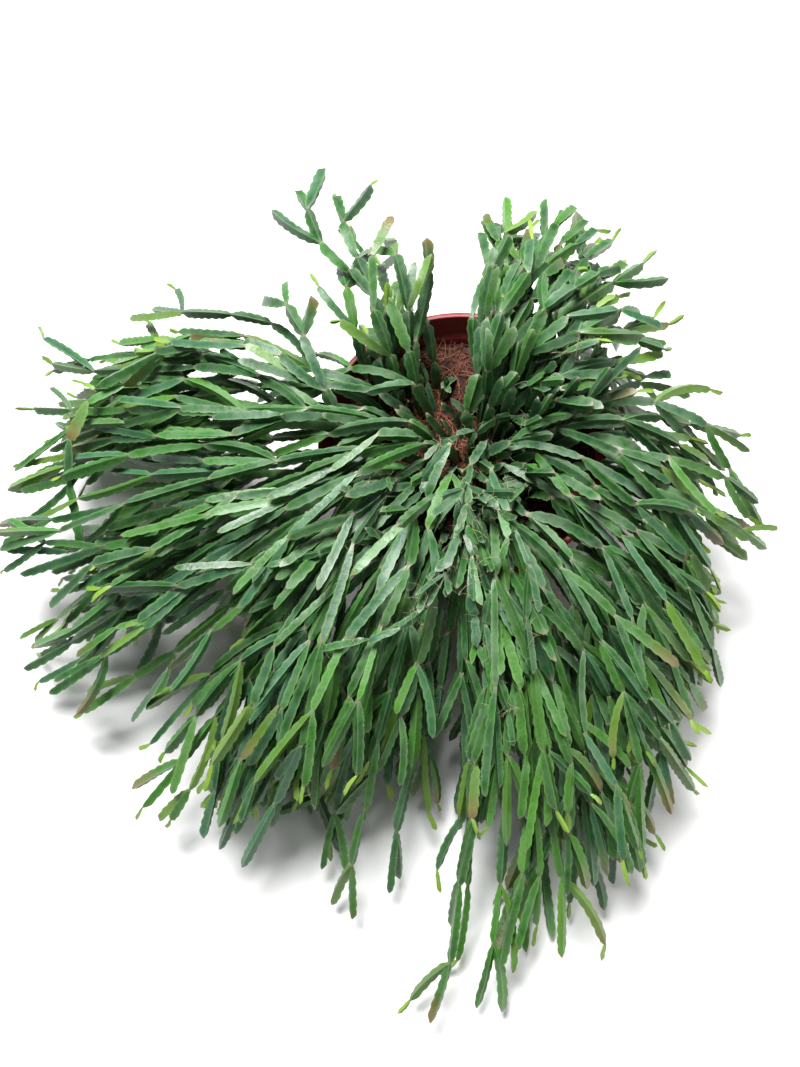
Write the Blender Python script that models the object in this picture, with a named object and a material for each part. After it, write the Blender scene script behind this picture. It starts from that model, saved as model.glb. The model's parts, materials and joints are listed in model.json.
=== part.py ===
# A potted rhipsalis: a round plastic nursery pot, its potting mix, and leafy stems that arch over the rim.
# Units are metres, +Z is up, and the origin is the centre of the pot's foot on the surface it stands on.
# Compass angles are seen from above: 0 is +X (right), 90 is +Y (back), 180 is left and 270 is front.

import math
import random
from collections import namedtuple

import bmesh
import bpy
from mathutils import Matrix, Vector
from mathutils.bvhtree import BVHTree

# Pot
POT_HEIGHT = 0.180
RIM_RADIUS = 0.120
BAND_RADIUS = 0.1165
BAND_HEIGHT = 0.026
NECK_RADIUS = 0.1130
FOOT_RADIUS = 0.084
FOOT_CHAMFER = 0.002
WALL = 0.0024
FLOOR = 0.0035
LIP_HEIGHT = 0.0045
DRAIN_RADIUS = 0.005
DRAIN_CIRCLE = 0.060
DRAIN_COUNT = 6
DRAIN_SIDES = 8
TURNED_SIDES = 32

# Potting mix
SOIL_TOP = 0.148
SOIL_GAP = 0.0006
SOIL_BUMP = 0.0025
SOIL_SEED = 5

# Stems: a root peg stands in a plain hole in the mix
PEG_DEPTH = 0.016
PEG_RADIUS = 0.0022
HOLE_RADIUS = 0.0044
HOLE_SIDES = 4
ROOT_SPACING = 0.011
GROUND_CLEAR = 0.0075
LOWEST_CORNER = 0.0008
CLEARANCE = 0.0004
UP = Vector((0, 0, 1))

# A cladode is the flattened stem piece that does a leaf's work. It has three wings and is narrow at its ends.
# A station is a place along it with the share of its full width there. Notches alternate along each edge.
LONG_PIECE = 0.070
LONG_STATIONS = ((0.2, 0.92), (0.5, 1.0), (0.8, 0.92))
SHORT_STATIONS = ((0.28, 0.97), (0.72, 0.97))
NECK_SHARE = 0.36
FORK_NECK_SHARE = 0.46
FORK_SHOULDER = 0.8
TIP_SHARE = 0.40
WING_ANGLES = (90, 205, 335)
NOTCH = 0.80
BOW = 0.8
SPLIT_GAP = 0.00025

COURSE_STEPS = 60
FORK_OPENING = 0.05
MAIN_TRIES = 160
FORK_TRIES = 14
GROWTH_SEED = 132
FAR_EVERY = 3
FAR_REACH = (0.93, 1.0)
SOIL_BODY = 0

# A sheaf is a group of leafy stems that leave the pot the same way. Its ranges are:
# stems: how many there are. heads: compass angles they head for. roots: compass angles they stand at.
# rooted: how far from the axis. reach: how far the tips lie from the axis, as a share of the thick part.
# One stem in FAR_EVERY goes out to the furthest tips instead.
# tip: the tips' height. lift: how high the stems rise from the mix. sag: how steeply they come down.
# piece: length of a cladode. wing: from its middle to a wing's edge.
# long_forks and short_forks: side branches wanted on each stem.
Sheaf = namedtuple(
    "Sheaf", "name stems heads roots rooted reach tip lift sag piece wing long_forks short_forks"
)
LONG_THIN = ((0.052, 0.076), (0.0052, 0.0067))
MIDDLING = ((0.046, 0.066), (0.0054, 0.0068))
SHORT_BROAD = ((0.034, 0.052), (0.0062, 0.0077))
SHEAVES = (
    Sheaf("left", 11, (150, 203), (130, 215), (0.01, 0.085), (0.66, 1.02), (0.05, 0.13), (0.06, 0.12),
          (0.03, 0.085), *LONG_THIN, 2, 4),
    Sheaf("front_left", 9, (203, 246), (205, 250), (0.008, 0.085), (0.62, 1.02), (0.02, 0.10), (0.06, 0.12),
          (0.03, 0.085), *LONG_THIN, 2, 4),
    Sheaf("front", 10, (246, 292), (240, 305), (0.0, 0.075), (0.58, 1.02), (0.008, 0.06), (0.05, 0.11),
          (0.03, 0.085), *LONG_THIN, 2, 4),
    Sheaf("front_right", 7, (292, 332), (290, 335), (0.015, 0.09), (0.66, 1.02), (0.02, 0.10), (0.06, 0.11),
          (0.03, 0.085), *MIDDLING, 2, 4),
    Sheaf("right", 6, (332, 374), (330, 385), (0.01, 0.085), (0.7, 1.02), (0.08, 0.16), (0.06, 0.11),
          (0.03, 0.08), *MIDDLING, 2, 4),
    Sheaf("back_right", 8, (18, 84), (15, 75), (0.015, 0.085), (0.7, 1.02), (0.15, 0.25), (0.08, 0.14),
          (0.00, 0.05), *SHORT_BROAD, 2, 4),
    Sheaf("back_left", 5, (106, 140), (112, 178), (0.05, 0.097), (0.7, 1.0), (0.17, 0.24), (0.07, 0.12),
          (0.00, 0.05), *SHORT_BROAD, 1, 3),
    Sheaf("young", 2, (80, 140), (95, 130), (0.035, 0.065), (0.30, 0.37), (0.17, 0.19), (0.01, 0.03),
          (0.00, 0.01), (0.022, 0.032), (0.0034, 0.0044), 0, 2),
)

# By compass angle, how far from the pot's axis the plant is thick and how far its furthest tips lie
OUTLINE = ((-15, 0.21, 0.28), (0, 0.22, 0.265), (15, 0.165, 0.195), (30, 0.175, 0.20), (60, 0.20, 0.23),
           (82, 0.20, 0.24), (97, 0.14, 0.22), (112, 0.20, 0.25), (127, 0.19, 0.24), (142, 0.16, 0.20),
           (150, 0.17, 0.33), (157, 0.28, 0.375), (165, 0.365, 0.395), (180, 0.385, 0.42), (195, 0.36, 0.415),
           (203, 0.38, 0.42), (210, 0.30, 0.405), (218, 0.25, 0.39), (226, 0.35, 0.39), (234, 0.36, 0.385),
           (241, 0.32, 0.38), (250, 0.295, 0.40), (259, 0.28, 0.41), (264, 0.29, 0.45), (270, 0.34, 0.445),
           (277, 0.395, 0.45), (285, 0.36, 0.41), (292, 0.325, 0.385), (300, 0.30, 0.345), (315, 0.27, 0.305),
           (330, 0.24, 0.28), (345, 0.21, 0.28), (360, 0.22, 0.265), (375, 0.165, 0.195))

# Linear base colour, roughness
POT_PLASTIC = ((0.16, 0.012, 0.018), 0.42)
POTTING_MIX = ((0.075, 0.032, 0.022), 0.95)
STEM_GREENS = (((0.060, 0.170, 0.048), 0.5), ((0.038, 0.120, 0.052), 0.5), ((0.085, 0.215, 0.060), 0.5))

Piece = namedtuple("Piece", "base tip bow roll wing keel")


class Chain:
    """Cladodes end to end along a course, each with the number of its body in the room.

    forks holds the side chains by the number of pieces before each.
    """

    def __init__(self, course, pieces, bodies, room):
        self.course = course
        self.pieces = pieces
        self.taken = [room.add(*body) for body in bodies]
        self.forks = {}


class Stem:
    """A leafy stem: a chain that stands in the mix, with its side chains."""

    def __init__(self, name, sheaf, root, left, chain):
        self.name = name
        self.sheaf = sheaf
        self.root = root
        self.left = left
        self.chain = chain


def compass(degrees):
    angle = math.radians(degrees)
    return Vector((math.cos(angle), math.sin(angle), 0))


def outline_at(heading):
    """How far the plant is thick at a compass angle, and how far its furthest tips lie there."""
    for (a, *here), (b, *there) in zip(OUTLINE, OUTLINE[1:]):
        if a <= heading <= b:
            share = (heading - a) / (b - a)
            return [near + (far - near) * share for near, far in zip(here, there)]
    return OUTLINE[-1][1:]


def above_surface(point):
    point.z = max(point.z, GROUND_CLEAR)
    return point


# Courses: the lines that the stems follow


def arch_course(root, heading, reach, tip, lift, sag, sway):
    """Points from the root up, over the rim and down to the tip, bent sideways by sway."""
    start = Vector((root.x, root.y, SOIL_TOP))
    out = compass(heading) * reach - Vector((root.x, root.y, 0))
    span = out.length
    out.normalize()
    aside = UP.cross(out)
    above = start + out * (0.10 * span) + UP * (lift + 0.5 * (RIM_RADIUS - root.length))
    before = start + out * (0.70 * span) + aside * (sway * span)
    before.z = tip + sag
    end = start + out * span
    end.z = tip
    course = []
    for step in range(COURSE_STEPS + 1):
        t = step / COURSE_STEPS
        s = 1 - t
        point = start * s**3 + above * (3 * s * s * t) + before * (3 * s * t * t) + end * t**3
        course.append(above_surface(point))
    return course


def fork_course(course, yaw, pitch, length):
    """A course of this length that leaves another at its first point, turned aside, and runs on beside it."""
    points = [course[0].copy()]
    gone = 0.0
    for here, there in zip(course, course[1:]):
        step = there - here
        fade = math.exp(-gone / FORK_OPENING)
        aside = UP.cross(step).normalized()
        step = Matrix.Rotation(-pitch * fade, 3, aside) @ step
        step = Matrix.Rotation(yaw * fade, 3, "Z") @ step
        points.append(above_surface(points[-1] + step))
        gone += step.length
        if gone >= length:
            return points
    way = (points[-1] - points[-2]).normalized()
    points.append(above_surface(points[-1] + way * (length - gone)))
    return points


def course_length(course):
    return sum((b - a).length for a, b in zip(course, course[1:]))


def along(course, distance):
    """The point of a course that lies that far along it."""
    for a, b in zip(course, course[1:]):
        step = (b - a).length
        if distance <= step and step > 0:
            return a.lerp(b, distance / step)
        distance -= step
    return course[-1].copy()


def rest_of(course, joint):
    """What is left of a course past its nearest point to a joint, moved to start at that joint."""
    nearest = min(range(len(course) - 1), key=lambda i: (course[i] - joint).length)
    shift = joint - course[nearest]
    return [point + shift for point in course[nearest:]]


# Pieces: a course cut into cladodes


def pieces_along(course, sheaf, rng, older):
    """Cladodes along a course. Their joints stand a little off it, and each has its own turn and width."""
    total = course_length(course)
    count = max(1, round(total / rng.uniform(*sheaf.piece)))
    places = [total * (i + rng.uniform(-0.13, 0.13) * (0 < i < count)) / count for i in range(count + 1)]
    joints = [along(course, place) for place in places]
    for joint in joints[1:]:
        joint += Vector((rng.uniform(-1, 1), rng.uniform(-1, 1), rng.uniform(-1, 1))) * 0.0028
        above_surface(joint)
    pieces = []
    for i in range(count):
        middle = along(course, (places[i] + places[i + 1]) / 2)
        bow = (middle - (along(course, places[i]) + along(course, places[i + 1])) / 2) * BOW
        age = 1 - (i + older) / (count + older)
        wing = rng.uniform(*sheaf.wing) * (0.84 + 0.2 * age)
        roll = rng.uniform(-42, 42)
        keel = rng.uniform(0.5, 0.95)
        pieces.append(Piece(joints[i], joints[i + 1], bow, roll, wing, keel))
    return pieces


def place_on(piece, t):
    return piece.base.lerp(piece.tip, t) + piece.bow * (4 * t * (1 - t))


def way_on(piece, t):
    return (piece.tip - piece.base + piece.bow * (4 * (1 - 2 * t))).normalized()


def ring(centre, way, left, roll, reaches):
    """The three corners of a section, the keel and the two side wings, anticlockwise round the way."""
    side = (left - way * left.dot(way)).normalized()
    top = way.cross(side)
    corners = []
    for angle, reach in zip(WING_ANGLES, reaches):
        turn = math.radians(angle + roll)
        corners.append(centre + (side * math.cos(turn) + top * math.sin(turn)) * reach)
    return corners


def body_rings(piece, left, number, narrow=False, extra=0.0):
    """The rings of a cladode between its two ends, with its notches."""
    stations = LONG_STATIONS if (piece.tip - piece.base).length > LONG_PIECE else SHORT_STATIONS
    rings = []
    for index, (t, share) in enumerate(stations):
        if narrow and index == 0:
            share *= FORK_SHOULDER
        reaches = []
        for corner in range(3):
            notch = NOTCH if (index + corner + number) % 2 else 1
            keel = piece.keel if corner == 0 else 1
            reaches.append(piece.wing * share * notch * keel + extra)
        rings.append(ring(place_on(piece, t), way_on(piece, t), left, piece.roll, reaches))
    return rings


def neck_ring(before, after, left, share, extra=0.0):
    """The ring that two neighbours share."""
    way = (way_on(before, 1) + way_on(after, 0)).normalized()
    reach = min(before.wing, after.wing) * share + extra
    return ring(before.tip, way, left, (before.roll + after.roll) / 2, [reach] * 3)


def tip_ring(piece, left, extra=0.0):
    return ring(piece.tip, way_on(piece, 1), left, piece.roll, [piece.wing * TIP_SHARE + extra] * 3)


def foot_ring(piece, left, extra=0.0):
    return ring(piece.base, way_on(piece, 0), left, piece.roll, [piece.wing * NECK_SHARE + extra] * 3)


def peg_ring(root, left, piece, extra=0.0):
    bottom = Vector((root.x, root.y, SOIL_TOP - PEG_DEPTH))
    return ring(bottom, UP, left, piece.roll, [PEG_RADIUS + extra] * 3)


def split_neck(before, after, fork, left):
    """The neck where a chain forks, cut in two halves: the one the chain goes on from, and the fork's.

    Returns the neck's apex corner, the six points round it and whether the fork has the first half.
    """
    corners = neck_ring(before, after, left, FORK_NECK_SHARE)
    parting = way_on(fork, 0) - way_on(after, 0)
    edges = [(corners[(k + 2) % 3] - corners[(k + 1) % 3]).normalized() for k in range(3)]
    apex = max(range(3), key=lambda k: abs(parting.dot(edges[k])))
    p, q, r = (corners[(apex + k) % 3] for k in range(3))
    edge = edges[apex]
    middle = (q + r) / 2
    gap = edge * SPLIT_GAP
    return apex, [p - gap, q, middle - gap, middle + gap, r, p + gap], parting.dot(edge) < 0


def half_of(six, first):
    return six[:3] if first else six[3:]


def turned_to(half, target):
    """The half's points in the order that best faces a ring's corners."""
    turns = [half[k:] + half[:k] for k in range(3)]
    return min(turns, key=lambda order: sum((a - b).length for a, b in zip(order, target)))


def tube(rings):
    """Points and faces of a closed body through the rings."""
    points = [corner for corners in rings for corner in corners]
    faces = [(2, 1, 0)]
    for i in range(len(rings) - 1):
        for k in range(3):
            a, b = 3 * i + k, 3 * i + (k + 1) % 3
            faces += [(a, b, b + 3), (a, b + 3, a + 3)]
    end = len(points)
    faces.append((end - 3, end - 2, end - 1))
    return points, faces


# Growth: a stem takes only free room


class Room:
    """What stands so far: for each body its tree of faces, its centre and how far it reaches from there."""

    def __init__(self):
        self.taken = []

    def add(self, points, faces):
        """Takes the body's room and returns its number."""
        centre = sum(points, Vector()) / len(points)
        reach = max((p - centre).length for p in points)
        self.taken.append((BVHTree.FromPolygons(points, faces), centre, reach))
        return len(self.taken) - 1

    def free(self, points, faces, skipped):
        """Whether the body touches none that stands, apart from those whose numbers are skipped."""
        centre = sum(points, Vector()) / len(points)
        reach = max((p - centre).length for p in points)
        tree = BVHTree.FromPolygons(points, faces)
        for number, (other, other_centre, other_reach) in enumerate(self.taken):
            if number in skipped or (other_centre - centre).length > reach + other_reach:
                continue
            if tree.overlap(other):
                return False
        return True


def piece_bodies(pieces, left, root=None):
    """A closed body for each cladode of a chain, a little larger all round than it is."""
    extra = CLEARANCE
    bodies = []
    for number, piece in enumerate(pieces):
        rings = body_rings(piece, left, number, extra=extra)
        if number:
            rings.insert(0, neck_ring(pieces[number - 1], piece, left, NECK_SHARE, extra))
        else:
            rings.insert(0, foot_ring(piece, left, extra))
            if root is not None:
                rings.insert(0, peg_ring(root, left, piece, extra))
        if number + 1 < len(pieces):
            rings.append(neck_ring(piece, pieces[number + 1], left, NECK_SHARE, extra))
        else:
            rings.append(tip_ring(piece, left, extra))
        bodies.append(tube(rings))
    return bodies


def clear_run(bodies, room, kin):
    """How many of the bodies, from the first on, touch nothing and stay above the surface."""
    for number, (points, faces) in enumerate(bodies):
        if min(p.z for p in points) < LOWEST_CORNER:
            return number
        if not room.free(points, faces, kin if number == 0 else ()):
            return number
    return len(bodies)


def parts_cleanly(before, after, fork, left):
    """Whether the first cladodes past a fork stay clear of each other."""
    apex, six, fork_first = split_neck(before, after, fork, left)
    trees = []
    for piece, first, extra in ((after, not fork_first, 0.0), (fork, fork_first, 0.0004)):
        rings = body_rings(piece, left, 0, narrow=True, extra=extra) + [tip_ring(piece, left, extra)]
        rings.insert(0, turned_to(half_of(six, first), rings[0]))
        trees.append(BVHTree.FromPolygons(*tube(rings)))
    return not trees[0].overlap(trees[1])


def grow_main(name, sheaf, place, rng, room, roots):
    """The main chain of a stem: the draw with the longest clear run, of draws that range wider and wider."""
    best = None
    for attempt in range(MAIN_TRIES):
        stray = rng.uniform(-1, 1) * (0.5 + attempt / MAIN_TRIES)
        share = min(max((place + 0.5 + stray) / sheaf.stems, 0), 1)
        heading = sheaf.heads[0] + (sheaf.heads[1] - sheaf.heads[0]) * share
        stand = sheaf.roots[0] + (sheaf.roots[1] - sheaf.roots[0]) * (share + rng.uniform(-0.12, 0.12))
        root = compass(stand) * rng.uniform(*sheaf.rooted)
        if any((root - other).length < ROOT_SPACING for other in roots):
            continue
        thick, furthest = outline_at(heading)
        if place % FAR_EVERY == 1:
            reach = furthest * rng.uniform(*FAR_REACH)
        else:
            reach = thick * rng.uniform(*sheaf.reach)
        course = arch_course(root, heading, reach, rng.uniform(*sheaf.tip),
                             rng.uniform(*sheaf.lift), rng.uniform(*sheaf.sag), rng.uniform(-0.12, 0.12))
        pieces = pieces_along(course, sheaf, rng, 0)
        left = UP.cross(compass(heading))
        bodies = piece_bodies(pieces, left, root)
        run = clear_run(bodies, room, (SOIL_BODY,))
        if best is None or run / len(pieces) > best[0]:
            best = (run / len(pieces), run, root, left, course, pieces, bodies)
        if best[0] == 1:
            break
    share, run, root, left, course, pieces, bodies = best
    if run == 0:
        return None
    roots.append(root)
    return Stem(name, sheaf, root, left, Chain(course, pieces[:run], bodies[:run], room))


def grow_fork(stem, chain, joint, pieces_wanted, rng, room):
    """A side chain that leaves a chain at a joint, if one of its draws has room."""
    before, after = chain.pieces[joint - 1], chain.pieces[joint]
    rest = rest_of(chain.course, after.base)
    kin = chain.taken[joint - 1:joint + 1]
    best = None
    for _ in range(FORK_TRIES):
        length = sum(rng.uniform(*stem.sheaf.piece) for _ in range(pieces_wanted))
        yaw = math.radians(rng.choice((-1, 1)) * rng.uniform(26, 58))
        course = fork_course(rest, yaw, math.radians(rng.uniform(-24, 24)), length)
        pieces = pieces_along(course, stem.sheaf, rng, joint)
        if not parts_cleanly(before, after, pieces[0], stem.left):
            continue
        bodies = piece_bodies(pieces, stem.left)
        run = clear_run(bodies, room, kin)
        if run and (best is None or run > best[0]):
            best = (run, course, pieces, bodies)
        if run == len(pieces):
            break
    if best is None:
        return None
    run, course, pieces, bodies = best
    chain.forks[joint] = Chain(course, pieces[:run], bodies[:run], room)
    return chain.forks[joint]


def grow_long_forks(stem, rng, room):
    """Side chains that leave in the stem's inner half and run beside it to its end."""
    joints = list(range(1, max(2, len(stem.chain.pieces) // 2 + 1)))
    rng.shuffle(joints)
    made = 0
    for joint in joints:
        if made == stem.sheaf.long_forks or joint >= len(stem.chain.pieces):
            break
        wanted = max(1, len(stem.chain.pieces) - joint - rng.choice((0, 1, 1, 2)))
        made += grow_fork(stem, stem.chain, joint, wanted, rng, room) is not None


def grow_short_forks(stem, rng, room):
    """Single cladodes that fork off near the ends of the stem's chains."""
    chains = [stem.chain] + list(stem.chain.forks.values())
    places = [(chain, joint) for chain in chains for joint in range(1, len(chain.pieces))]
    places = [(chain, joint) for chain, joint in places if joint not in chain.forks]
    places.sort(key=lambda place: len(place[0].pieces) - place[1] + 1.6 * rng.random())
    made = 0
    for chain, joint in places:
        if made == stem.sheaf.short_forks:
            break
        made += grow_fork(stem, chain, joint, 1, rng, room) is not None


def grow_plant(room):
    """Every leafy stem, sheaf by sheaf, and then their forks."""
    roots, stems = [], []
    for sheaf in SHEAVES:
        rng = random.Random(f"{GROWTH_SEED} {sheaf.name}")
        for place in range(sheaf.stems):
            stem = grow_main(f"stem_{sheaf.name}_{place + 1}", sheaf, place, rng, room, roots)
            if stem:
                stems.append(stem)
    for grow in (grow_long_forks, grow_short_forks):
        for stem in stems:
            grow(stem, random.Random(f"{GROWTH_SEED} {stem.name} {grow.__name__}"), room)
    return stems


# Bodies: one closed surface for each leafy stem


class Skin:
    """The points and faces of a stem's surface as it is drawn from the root outwards."""

    def __init__(self):
        self.points = []
        self.faces = []

    def add(self, corners):
        first = len(self.points)
        self.points += corners
        return list(range(first, first + len(corners)))

    def span(self, near, far):
        for k in range(3):
            n = (k + 1) % 3
            self.faces += [(near[k], near[n], far[n]), (near[k], far[n], far[k])]

    def span_to_split(self, near, six, apex):
        """Joins a ring to a split neck, and closes the small saddle between its halves."""
        p, q, r = near[apex], near[(apex + 1) % 3], near[(apex + 2) % 3]
        p1, q1, m1, m2, r1, p2 = six
        self.faces += [(p, q, q1), (p, q1, p1), (r, p, p2), (r, p2, r1), (p, p1, p2)]
        self.faces += [(r, r1, m2), (q, r, m2), (q, m2, m1), (q, m1, q1)]
        self.faces += [(p1, m1, m2), (p1, m2, p2)]


def draw_chain(skin, chain, left, start, narrow):
    """Draws a chain from its start ring, given as point numbers, and every chain that forks off it."""
    for number, piece in enumerate(chain.pieces):
        for corners in body_rings(piece, left, number, narrow):
            here = skin.add(corners)
            skin.span(start, here)
            start = here
        narrow = False
        if number + 1 == len(chain.pieces):
            here = skin.add(tip_ring(piece, left))
            skin.span(start, here)
            skin.faces.append(tuple(here))
            return
        after = chain.pieces[number + 1]
        fork = chain.forks.get(number + 1)
        if fork is None:
            here = skin.add(neck_ring(piece, after, left, NECK_SHARE))
            skin.span(start, here)
            start = here
            continue
        apex, six, fork_first = split_neck(piece, after, fork.pieces[0], left)
        numbers = skin.add(six)
        skin.span_to_split(start, numbers, apex)
        for next_piece, first in ((fork.pieces[0], fork_first), (after, not fork_first)):
            half = half_of(six, first)
            target = body_rings(next_piece, left, 0, True)[0]
            order = [half.index(point) for point in turned_to(half, target)]
            start = [half_of(numbers, first)[k] for k in order]
            if next_piece is not after:
                draw_chain(skin, fork, left, start, True)
        narrow = True


def build_stem(stem, finish):
    skin = Skin()
    first = stem.chain.pieces[0]
    peg = skin.add(peg_ring(stem.root, stem.left, first))
    skin.faces.append((peg[2], peg[1], peg[0]))
    foot = skin.add(foot_ring(first, stem.left))
    skin.span(peg, foot)
    draw_chain(skin, stem.chain, stem.left, foot, False)
    return mesh_object(stem.name, skin.points, skin.faces, finish)


# Objects


def material(name, colour, roughness):
    made = bpy.data.materials.new(name)
    made.use_nodes = True
    shader = made.node_tree.nodes["Principled BSDF"]
    shader.inputs["Base Color"].default_value = (*colour, 1)
    shader.inputs["Roughness"].default_value = roughness
    return made


def mesh_object(name, points, faces, finish=None):
    mesh = bpy.data.meshes.new(name)
    mesh.from_pydata([tuple(p) for p in points], [], faces)
    mesh.validate()
    made = bpy.data.objects.new(name, mesh)
    bpy.context.scene.collection.objects.link(made)
    if finish:
        mesh.materials.append(finish)
    return made


def turned(name, profile, finish):
    """A body turned round the Z axis from a profile that starts and ends on the axis."""
    work = bmesh.new()
    verts = [work.verts.new((radius, 0, height)) for radius, height in profile]
    edges = [work.edges.new(pair) for pair in zip(verts, verts[1:])]
    around = {"cent": (0, 0, 0), "axis": (0, 0, 1), "angle": math.tau}
    bmesh.ops.spin(work, geom=verts + edges, steps=TURNED_SIDES, **around)
    bmesh.ops.remove_doubles(work, verts=work.verts, dist=1e-6)
    bmesh.ops.recalc_face_normals(work, faces=work.faces)
    mesh = bpy.data.meshes.new(name)
    work.to_mesh(mesh)
    work.free()
    mesh.materials.append(finish)
    mesh.shade_smooth()
    mesh.set_sharp_from_angle(angle=math.radians(35))
    made = bpy.data.objects.new(name, mesh)
    bpy.context.scene.collection.objects.link(made)
    return made


def pegs(name, spots, radius, sides, low, high):
    """Upright prisms at the spots, as one mesh, for cutting holes."""
    points, faces = [], []
    for spot in spots:
        first = len(points)
        for height in (low, high):
            for k in range(sides):
                angle = math.tau * k / sides
                across, along_y = radius * math.cos(angle), radius * math.sin(angle)
                points.append((spot.x + across, spot.y + along_y, height))
        faces.append(tuple(first + k for k in reversed(range(sides))))
        faces.append(tuple(first + sides + k for k in range(sides)))
        for k in range(sides):
            n = (k + 1) % sides
            faces.append((first + k, first + n, first + sides + n, first + sides + k))
    return mesh_object(name, points, faces)


def cut(body, cutter):
    boolean = body.modifiers.new("holes", "BOOLEAN")
    boolean.operation = "DIFFERENCE"
    boolean.object = cutter
    boolean.solver = "EXACT"
    graph = bpy.context.evaluated_depsgraph_get()
    mesh = bpy.data.meshes.new_from_object(body.evaluated_get(graph))
    body.modifiers.clear()
    body.data = mesh
    bpy.data.objects.remove(cutter)


def wall_radius(height):
    """Outer radius of the pot's tapered wall, under the rim band."""
    share = height / (POT_HEIGHT - BAND_HEIGHT)
    return FOOT_RADIUS + (NECK_RADIUS - FOOT_RADIUS) * share


def build_pot():
    band_foot = POT_HEIGHT - BAND_HEIGHT
    lip_foot = POT_HEIGHT - LIP_HEIGHT
    outer = [
        (0, 0),
        (FOOT_RADIUS - FOOT_CHAMFER, 0),
        (FOOT_RADIUS, FOOT_CHAMFER),
        (NECK_RADIUS, band_foot),
        (BAND_RADIUS, band_foot + WALL),
        (BAND_RADIUS + 0.001, lip_foot),
        (RIM_RADIUS, lip_foot + 0.001),
        (RIM_RADIUS, POT_HEIGHT - 0.001),
        (RIM_RADIUS - 0.001, POT_HEIGHT),
    ]
    inner = [
        (BAND_RADIUS + 0.001 - WALL, POT_HEIGHT),
        (BAND_RADIUS - WALL, band_foot + WALL),
        (NECK_RADIUS - WALL, band_foot - WALL),
        (wall_radius(FLOOR) - WALL, FLOOR),
        (0, FLOOR),
    ]
    pot = turned("pot", outer + inner, material("pot_plastic", *POT_PLASTIC))
    spots = [compass(360 * k / DRAIN_COUNT) * DRAIN_CIRCLE for k in range(DRAIN_COUNT)]
    cut(pot, pegs("drain_cutter", spots, DRAIN_RADIUS, DRAIN_SIDES, -FLOOR, 2 * FLOOR))
    return pot


def build_soil(roots):
    """The potting mix, a gap inside the pot's wall, with an uneven top and a hole for each stem."""
    gap = WALL / math.cos(math.pi / TURNED_SIDES) + SOIL_GAP
    low = FLOOR + SOIL_GAP
    top = wall_radius(SOIL_TOP) - gap
    profile = [(0, low), (wall_radius(low) - gap, low), (top, SOIL_TOP)]
    profile += [(top * share, SOIL_TOP) for share in (0.72, 0.4, 0)]
    soil = turned("soil", profile, material("potting_mix", *POTTING_MIX))
    rng = random.Random(SOIL_SEED)
    for vertex in soil.data.vertices:
        if vertex.co.z > SOIL_TOP - 1e-6 and vertex.co.xy.length < top - 1e-4:
            vertex.co.z -= rng.uniform(0, SOIL_BUMP)
    hole_foot = SOIL_TOP - PEG_DEPTH - 0.0008
    cut(soil, pegs("root_cutter", roots, HOLE_RADIUS, HOLE_SIDES, hole_foot, POT_HEIGHT))
    return soil


def main():
    for old in list(bpy.data.objects):
        bpy.data.objects.remove(old)
    pot = build_pot()
    room = Room()
    disc = [compass(30 * k) * (RIM_RADIUS - 0.01) + UP * SOIL_TOP for k in range(12)]
    room.add(disc, [tuple(range(12))])
    room.add([v.co.copy() for v in pot.data.vertices], [tuple(p.vertices) for p in pot.data.polygons])
    stems = grow_plant(room)
    build_soil([stem.root for stem in stems])
    greens = [material(f"stem_green_{k + 1}", *green) for k, green in enumerate(STEM_GREENS)]
    for number, stem in enumerate(stems):
        build_stem(stem, greens[number % len(greens)])


main()
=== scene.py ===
# Potted rhipsalis: how the plant, its potting mix and its pot look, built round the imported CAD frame.
# Metres, +Z up. Compass angles are seen from above: 0 is +X (right), 90 is +Y (back), 270 is the front.

import math
import random
from collections import namedtuple

import bmesh
import bpy
import numpy as np
from mathutils import Matrix, Vector, noise as fieldNoise
from mathutils.bvhtree import BVHTree
from mathutils.kdtree import KDTree
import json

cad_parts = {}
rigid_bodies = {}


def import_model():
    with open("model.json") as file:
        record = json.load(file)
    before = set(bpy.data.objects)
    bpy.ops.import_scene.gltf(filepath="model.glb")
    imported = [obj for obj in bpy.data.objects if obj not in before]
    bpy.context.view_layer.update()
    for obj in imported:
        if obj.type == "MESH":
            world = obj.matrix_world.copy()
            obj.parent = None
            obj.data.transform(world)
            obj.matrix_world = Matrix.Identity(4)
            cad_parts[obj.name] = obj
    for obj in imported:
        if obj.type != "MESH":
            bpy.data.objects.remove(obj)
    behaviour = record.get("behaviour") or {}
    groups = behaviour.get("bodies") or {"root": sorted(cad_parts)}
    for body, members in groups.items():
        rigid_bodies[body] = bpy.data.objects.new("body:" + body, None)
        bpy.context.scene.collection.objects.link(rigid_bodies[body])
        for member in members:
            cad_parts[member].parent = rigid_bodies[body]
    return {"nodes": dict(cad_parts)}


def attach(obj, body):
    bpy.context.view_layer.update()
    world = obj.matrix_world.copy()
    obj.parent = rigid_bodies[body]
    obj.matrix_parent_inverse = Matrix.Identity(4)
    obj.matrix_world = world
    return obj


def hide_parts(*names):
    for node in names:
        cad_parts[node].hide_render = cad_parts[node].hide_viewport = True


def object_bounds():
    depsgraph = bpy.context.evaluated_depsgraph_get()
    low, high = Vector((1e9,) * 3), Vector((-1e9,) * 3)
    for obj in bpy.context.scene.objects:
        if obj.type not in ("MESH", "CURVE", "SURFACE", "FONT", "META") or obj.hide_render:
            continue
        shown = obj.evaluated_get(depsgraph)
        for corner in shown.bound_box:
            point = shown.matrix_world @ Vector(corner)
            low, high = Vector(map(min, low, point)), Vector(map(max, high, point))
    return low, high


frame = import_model()
cadLow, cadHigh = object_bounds()
up = Vector((0, 0, 1))

# Camera, floor and light

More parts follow.
